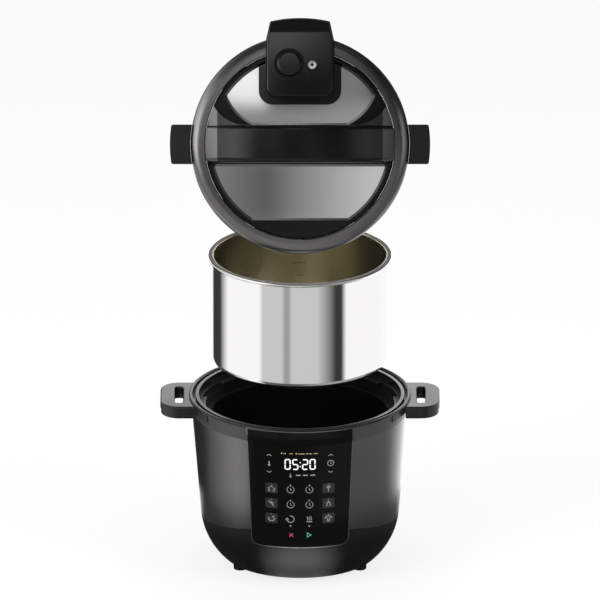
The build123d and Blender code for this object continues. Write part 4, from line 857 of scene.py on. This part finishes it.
LID_LOW_STOPS = (
    (-180, SHADE),
    (-140, BLACK),
    (-110, WHITE),
    (-60, LAMP),
    (-45, GLARE),
    (-30, DIM),
    (-12, SHADE),
    (-5, DARK),
    (12, GREY),
    (16, DIM),
    (30, SHADE),
    (45, WHITE),
    (60, GREY),
    (75, DARK),
    (155, DARK),
    (180, SHADE),
)
LID_MID_STOPS = (
    (-180, SHADE),
    (-140, BLACK),
    (-110, WHITE),
    (-60, LAMP),
    (-45, GLARE),
    (-30, GREY),
    (-13, GREY),
    (-12, SHADE),
    (12, DIM),
    (13, DARK),
    (30, DARK),
    (45, WHITE),
    (60, GREY),
    (75, DARK),
    (155, DARK),
    (180, SHADE),
)
LID_HIGH_STOPS = (
    (-180, BLACK),
    (-140, BLACK),
    (-110, WHITE),
    (-75, LAMP),
    (-45, LAMP),
    (-20, GREY),
    (-12, GREY),
    (-11, WHITE),
    (-5, WHITE),
    (-4.5, BLACK),
    (4, BLACK),
    (4.5, SHADE),
    (10, SHADE),
    (11, BLACK),
    (155, DARK),
    (180, BLACK),
)
LID_TOP_STOPS = (
    (-180, BLACK),
    (-140, BLACK),
    (-110, WHITE),
    (-75, WHITE),
    (-40, GREY),
    (-15, SHADE),
    (-6, SHADE),
    (-5.5, LAMP),
    (5, GREY),
    (5.5, BLACK),
    (155, DARK),
    (180, BLACK),
)
UPPER_STOPS = (
    (-180, SHADE),
    (-150, SHADE),
    (-80, DIM),
    (-30, BLACK),
    (-10, GREY),
    (10, GREY),
    (30, BLACK),
    (150, BLACK),
    (180, SHADE),
)
ROOF_STOPS = (
    (-180, DARK),
    (180, DARK),
)
# Each level: its stops, and the heights between which they take over from the level below
SCREEN_LEVELS = (
    (UNDER_STOPS, None),
    (FOOT_STOPS, (0.0001, 0.0003)),
    (APRON_STOPS, (0.0003, 0.0005)),
    (BASE_STOPS, (0.0006, 0.0009)),
    (POT_STOPS, (0.065, 0.085)),
    (RIM_STOPS, (0.29, 0.32)),
    (GAP_STOPS, (0.44, 0.47)),
    (LID_LOW_STOPS, (0.56, 0.6)),
    (LID_MID_STOPS, (0.665, 0.685)),
    (LID_HIGH_STOPS, (0.735, 0.755)),
    (LID_TOP_STOPS, (0.795, 0.82)),
    (UPPER_STOPS, (0.87, 0.95)),
    (ROOF_STOPS, (1.1, 1.2)),
)


def screen():
    """The ring of panels with a roof and a foot, each stretch's brightness taken from the stops."""
    mesh = bpy.data.meshes.new("reflection_screen")
    steps = 96
    rows = len(SCREEN_SECTION)
    verts = []
    faces = []
    for i in range(steps):
        turn = math.tau * i / steps
        for radius, height in SCREEN_SECTION:
            verts.append((radius * math.sin(turn), -radius * math.cos(turn), height))
        for j in range(rows - 1):
            a, b = rows * i + j, rows * ((i + 1) % steps) + j
            faces.append((a, b, b + 1, a + 1))
    faces.append([rows * i + rows - 1 for i in range(steps)])
    faces.append([rows * i for i in range(steps)])
    mesh.from_pydata(verts, [], faces)
    made = bpy.data.objects.new("reflection_screen", mesh)
    bpy.context.collection.objects.link(made)
    shade = Shade("reflection_panels", (0.0, 0.0, 0.0), 1.0)
    split = shade.node("ShaderNodeSeparateXYZ", {0: shade.space})
    front = shade.math("MULTIPLY", split.outputs[1], -1.0)
    angle = shade.math("ARCTAN2", split.outputs[0], front)
    share = shade.node(
        "ShaderNodeMapRange", {"Value": angle, "From Min": -math.pi, "From Max": math.pi}
    ).outputs[0]
    color = None
    for level_stops, heights in SCREEN_LEVELS:
        ramp = shade.node("ShaderNodeValToRGB", {0: share})
        stops = ramp.color_ramp.elements
        while len(stops) < len(level_stops):
            stops.new(0.5)
        for stop, (degrees, brightness) in zip(stops, level_stops):
            stop.position = (degrees + 180) / 360
            stop.color = (brightness, brightness, brightness, 1.0)
        if heights is None:
            color = ramp.outputs[0]
            continue
        span = {"Value": split.outputs[2], "From Min": heights[0], "From Max": heights[1]}
        rise = shade.node("ShaderNodeMapRange", span).outputs[0]
        mix = shade.node("ShaderNodeMix", {0: rise, 6: color, 7: ramp.outputs[0]}, data_type="RGBA")
        color = mix.outputs[2]
    glow = shade.node("ShaderNodeEmission", {"Color": color, "Strength": 1.0})
    shade.links.new(glow.outputs[0], shade.nodes["Material Output"].inputs[0])
    mesh.materials.append(shade.material)
    made.visible_camera = False
    made.visible_diffuse = False
    made.visible_transmission = False
    made.visible_volume_scatter = False
    made.visible_shadow = False


def camera():
    """The photograph's view: from the front, a little above, far away."""
    lens = bpy.data.cameras.new("camera")
    lens.sensor_width = SENSOR
    lens.lens = SENSOR * VIEW_DISTANCE / VIEW_WIDTH
    lens.clip_end = 400.0
    made = bpy.data.objects.new("camera", lens)
    back = Vector((0.0, -math.cos(VIEW_ELEVATION), math.sin(VIEW_ELEVATION)))
    made.location = VIEW_AIM + VIEW_DISTANCE * back
    made.rotation_euler = (math.pi / 2 - VIEW_ELEVATION, 0.0, 0.0)
    bpy.context.collection.objects.link(made)
    bpy.context.scene.camera = made


floor()
world()
screen()
softbox("key_light", (-1.6, -1.6, 2.4), 1.4, 40.0)
softbox("fill_light", (1.8, -1.2, 2.0), 1.2, 22.0)
softbox("top_light", (0.0, 0.6, 2.8), 1.6, 20.0)
camera()
bpy.context.scene.view_settings.view_transform = "Standard"
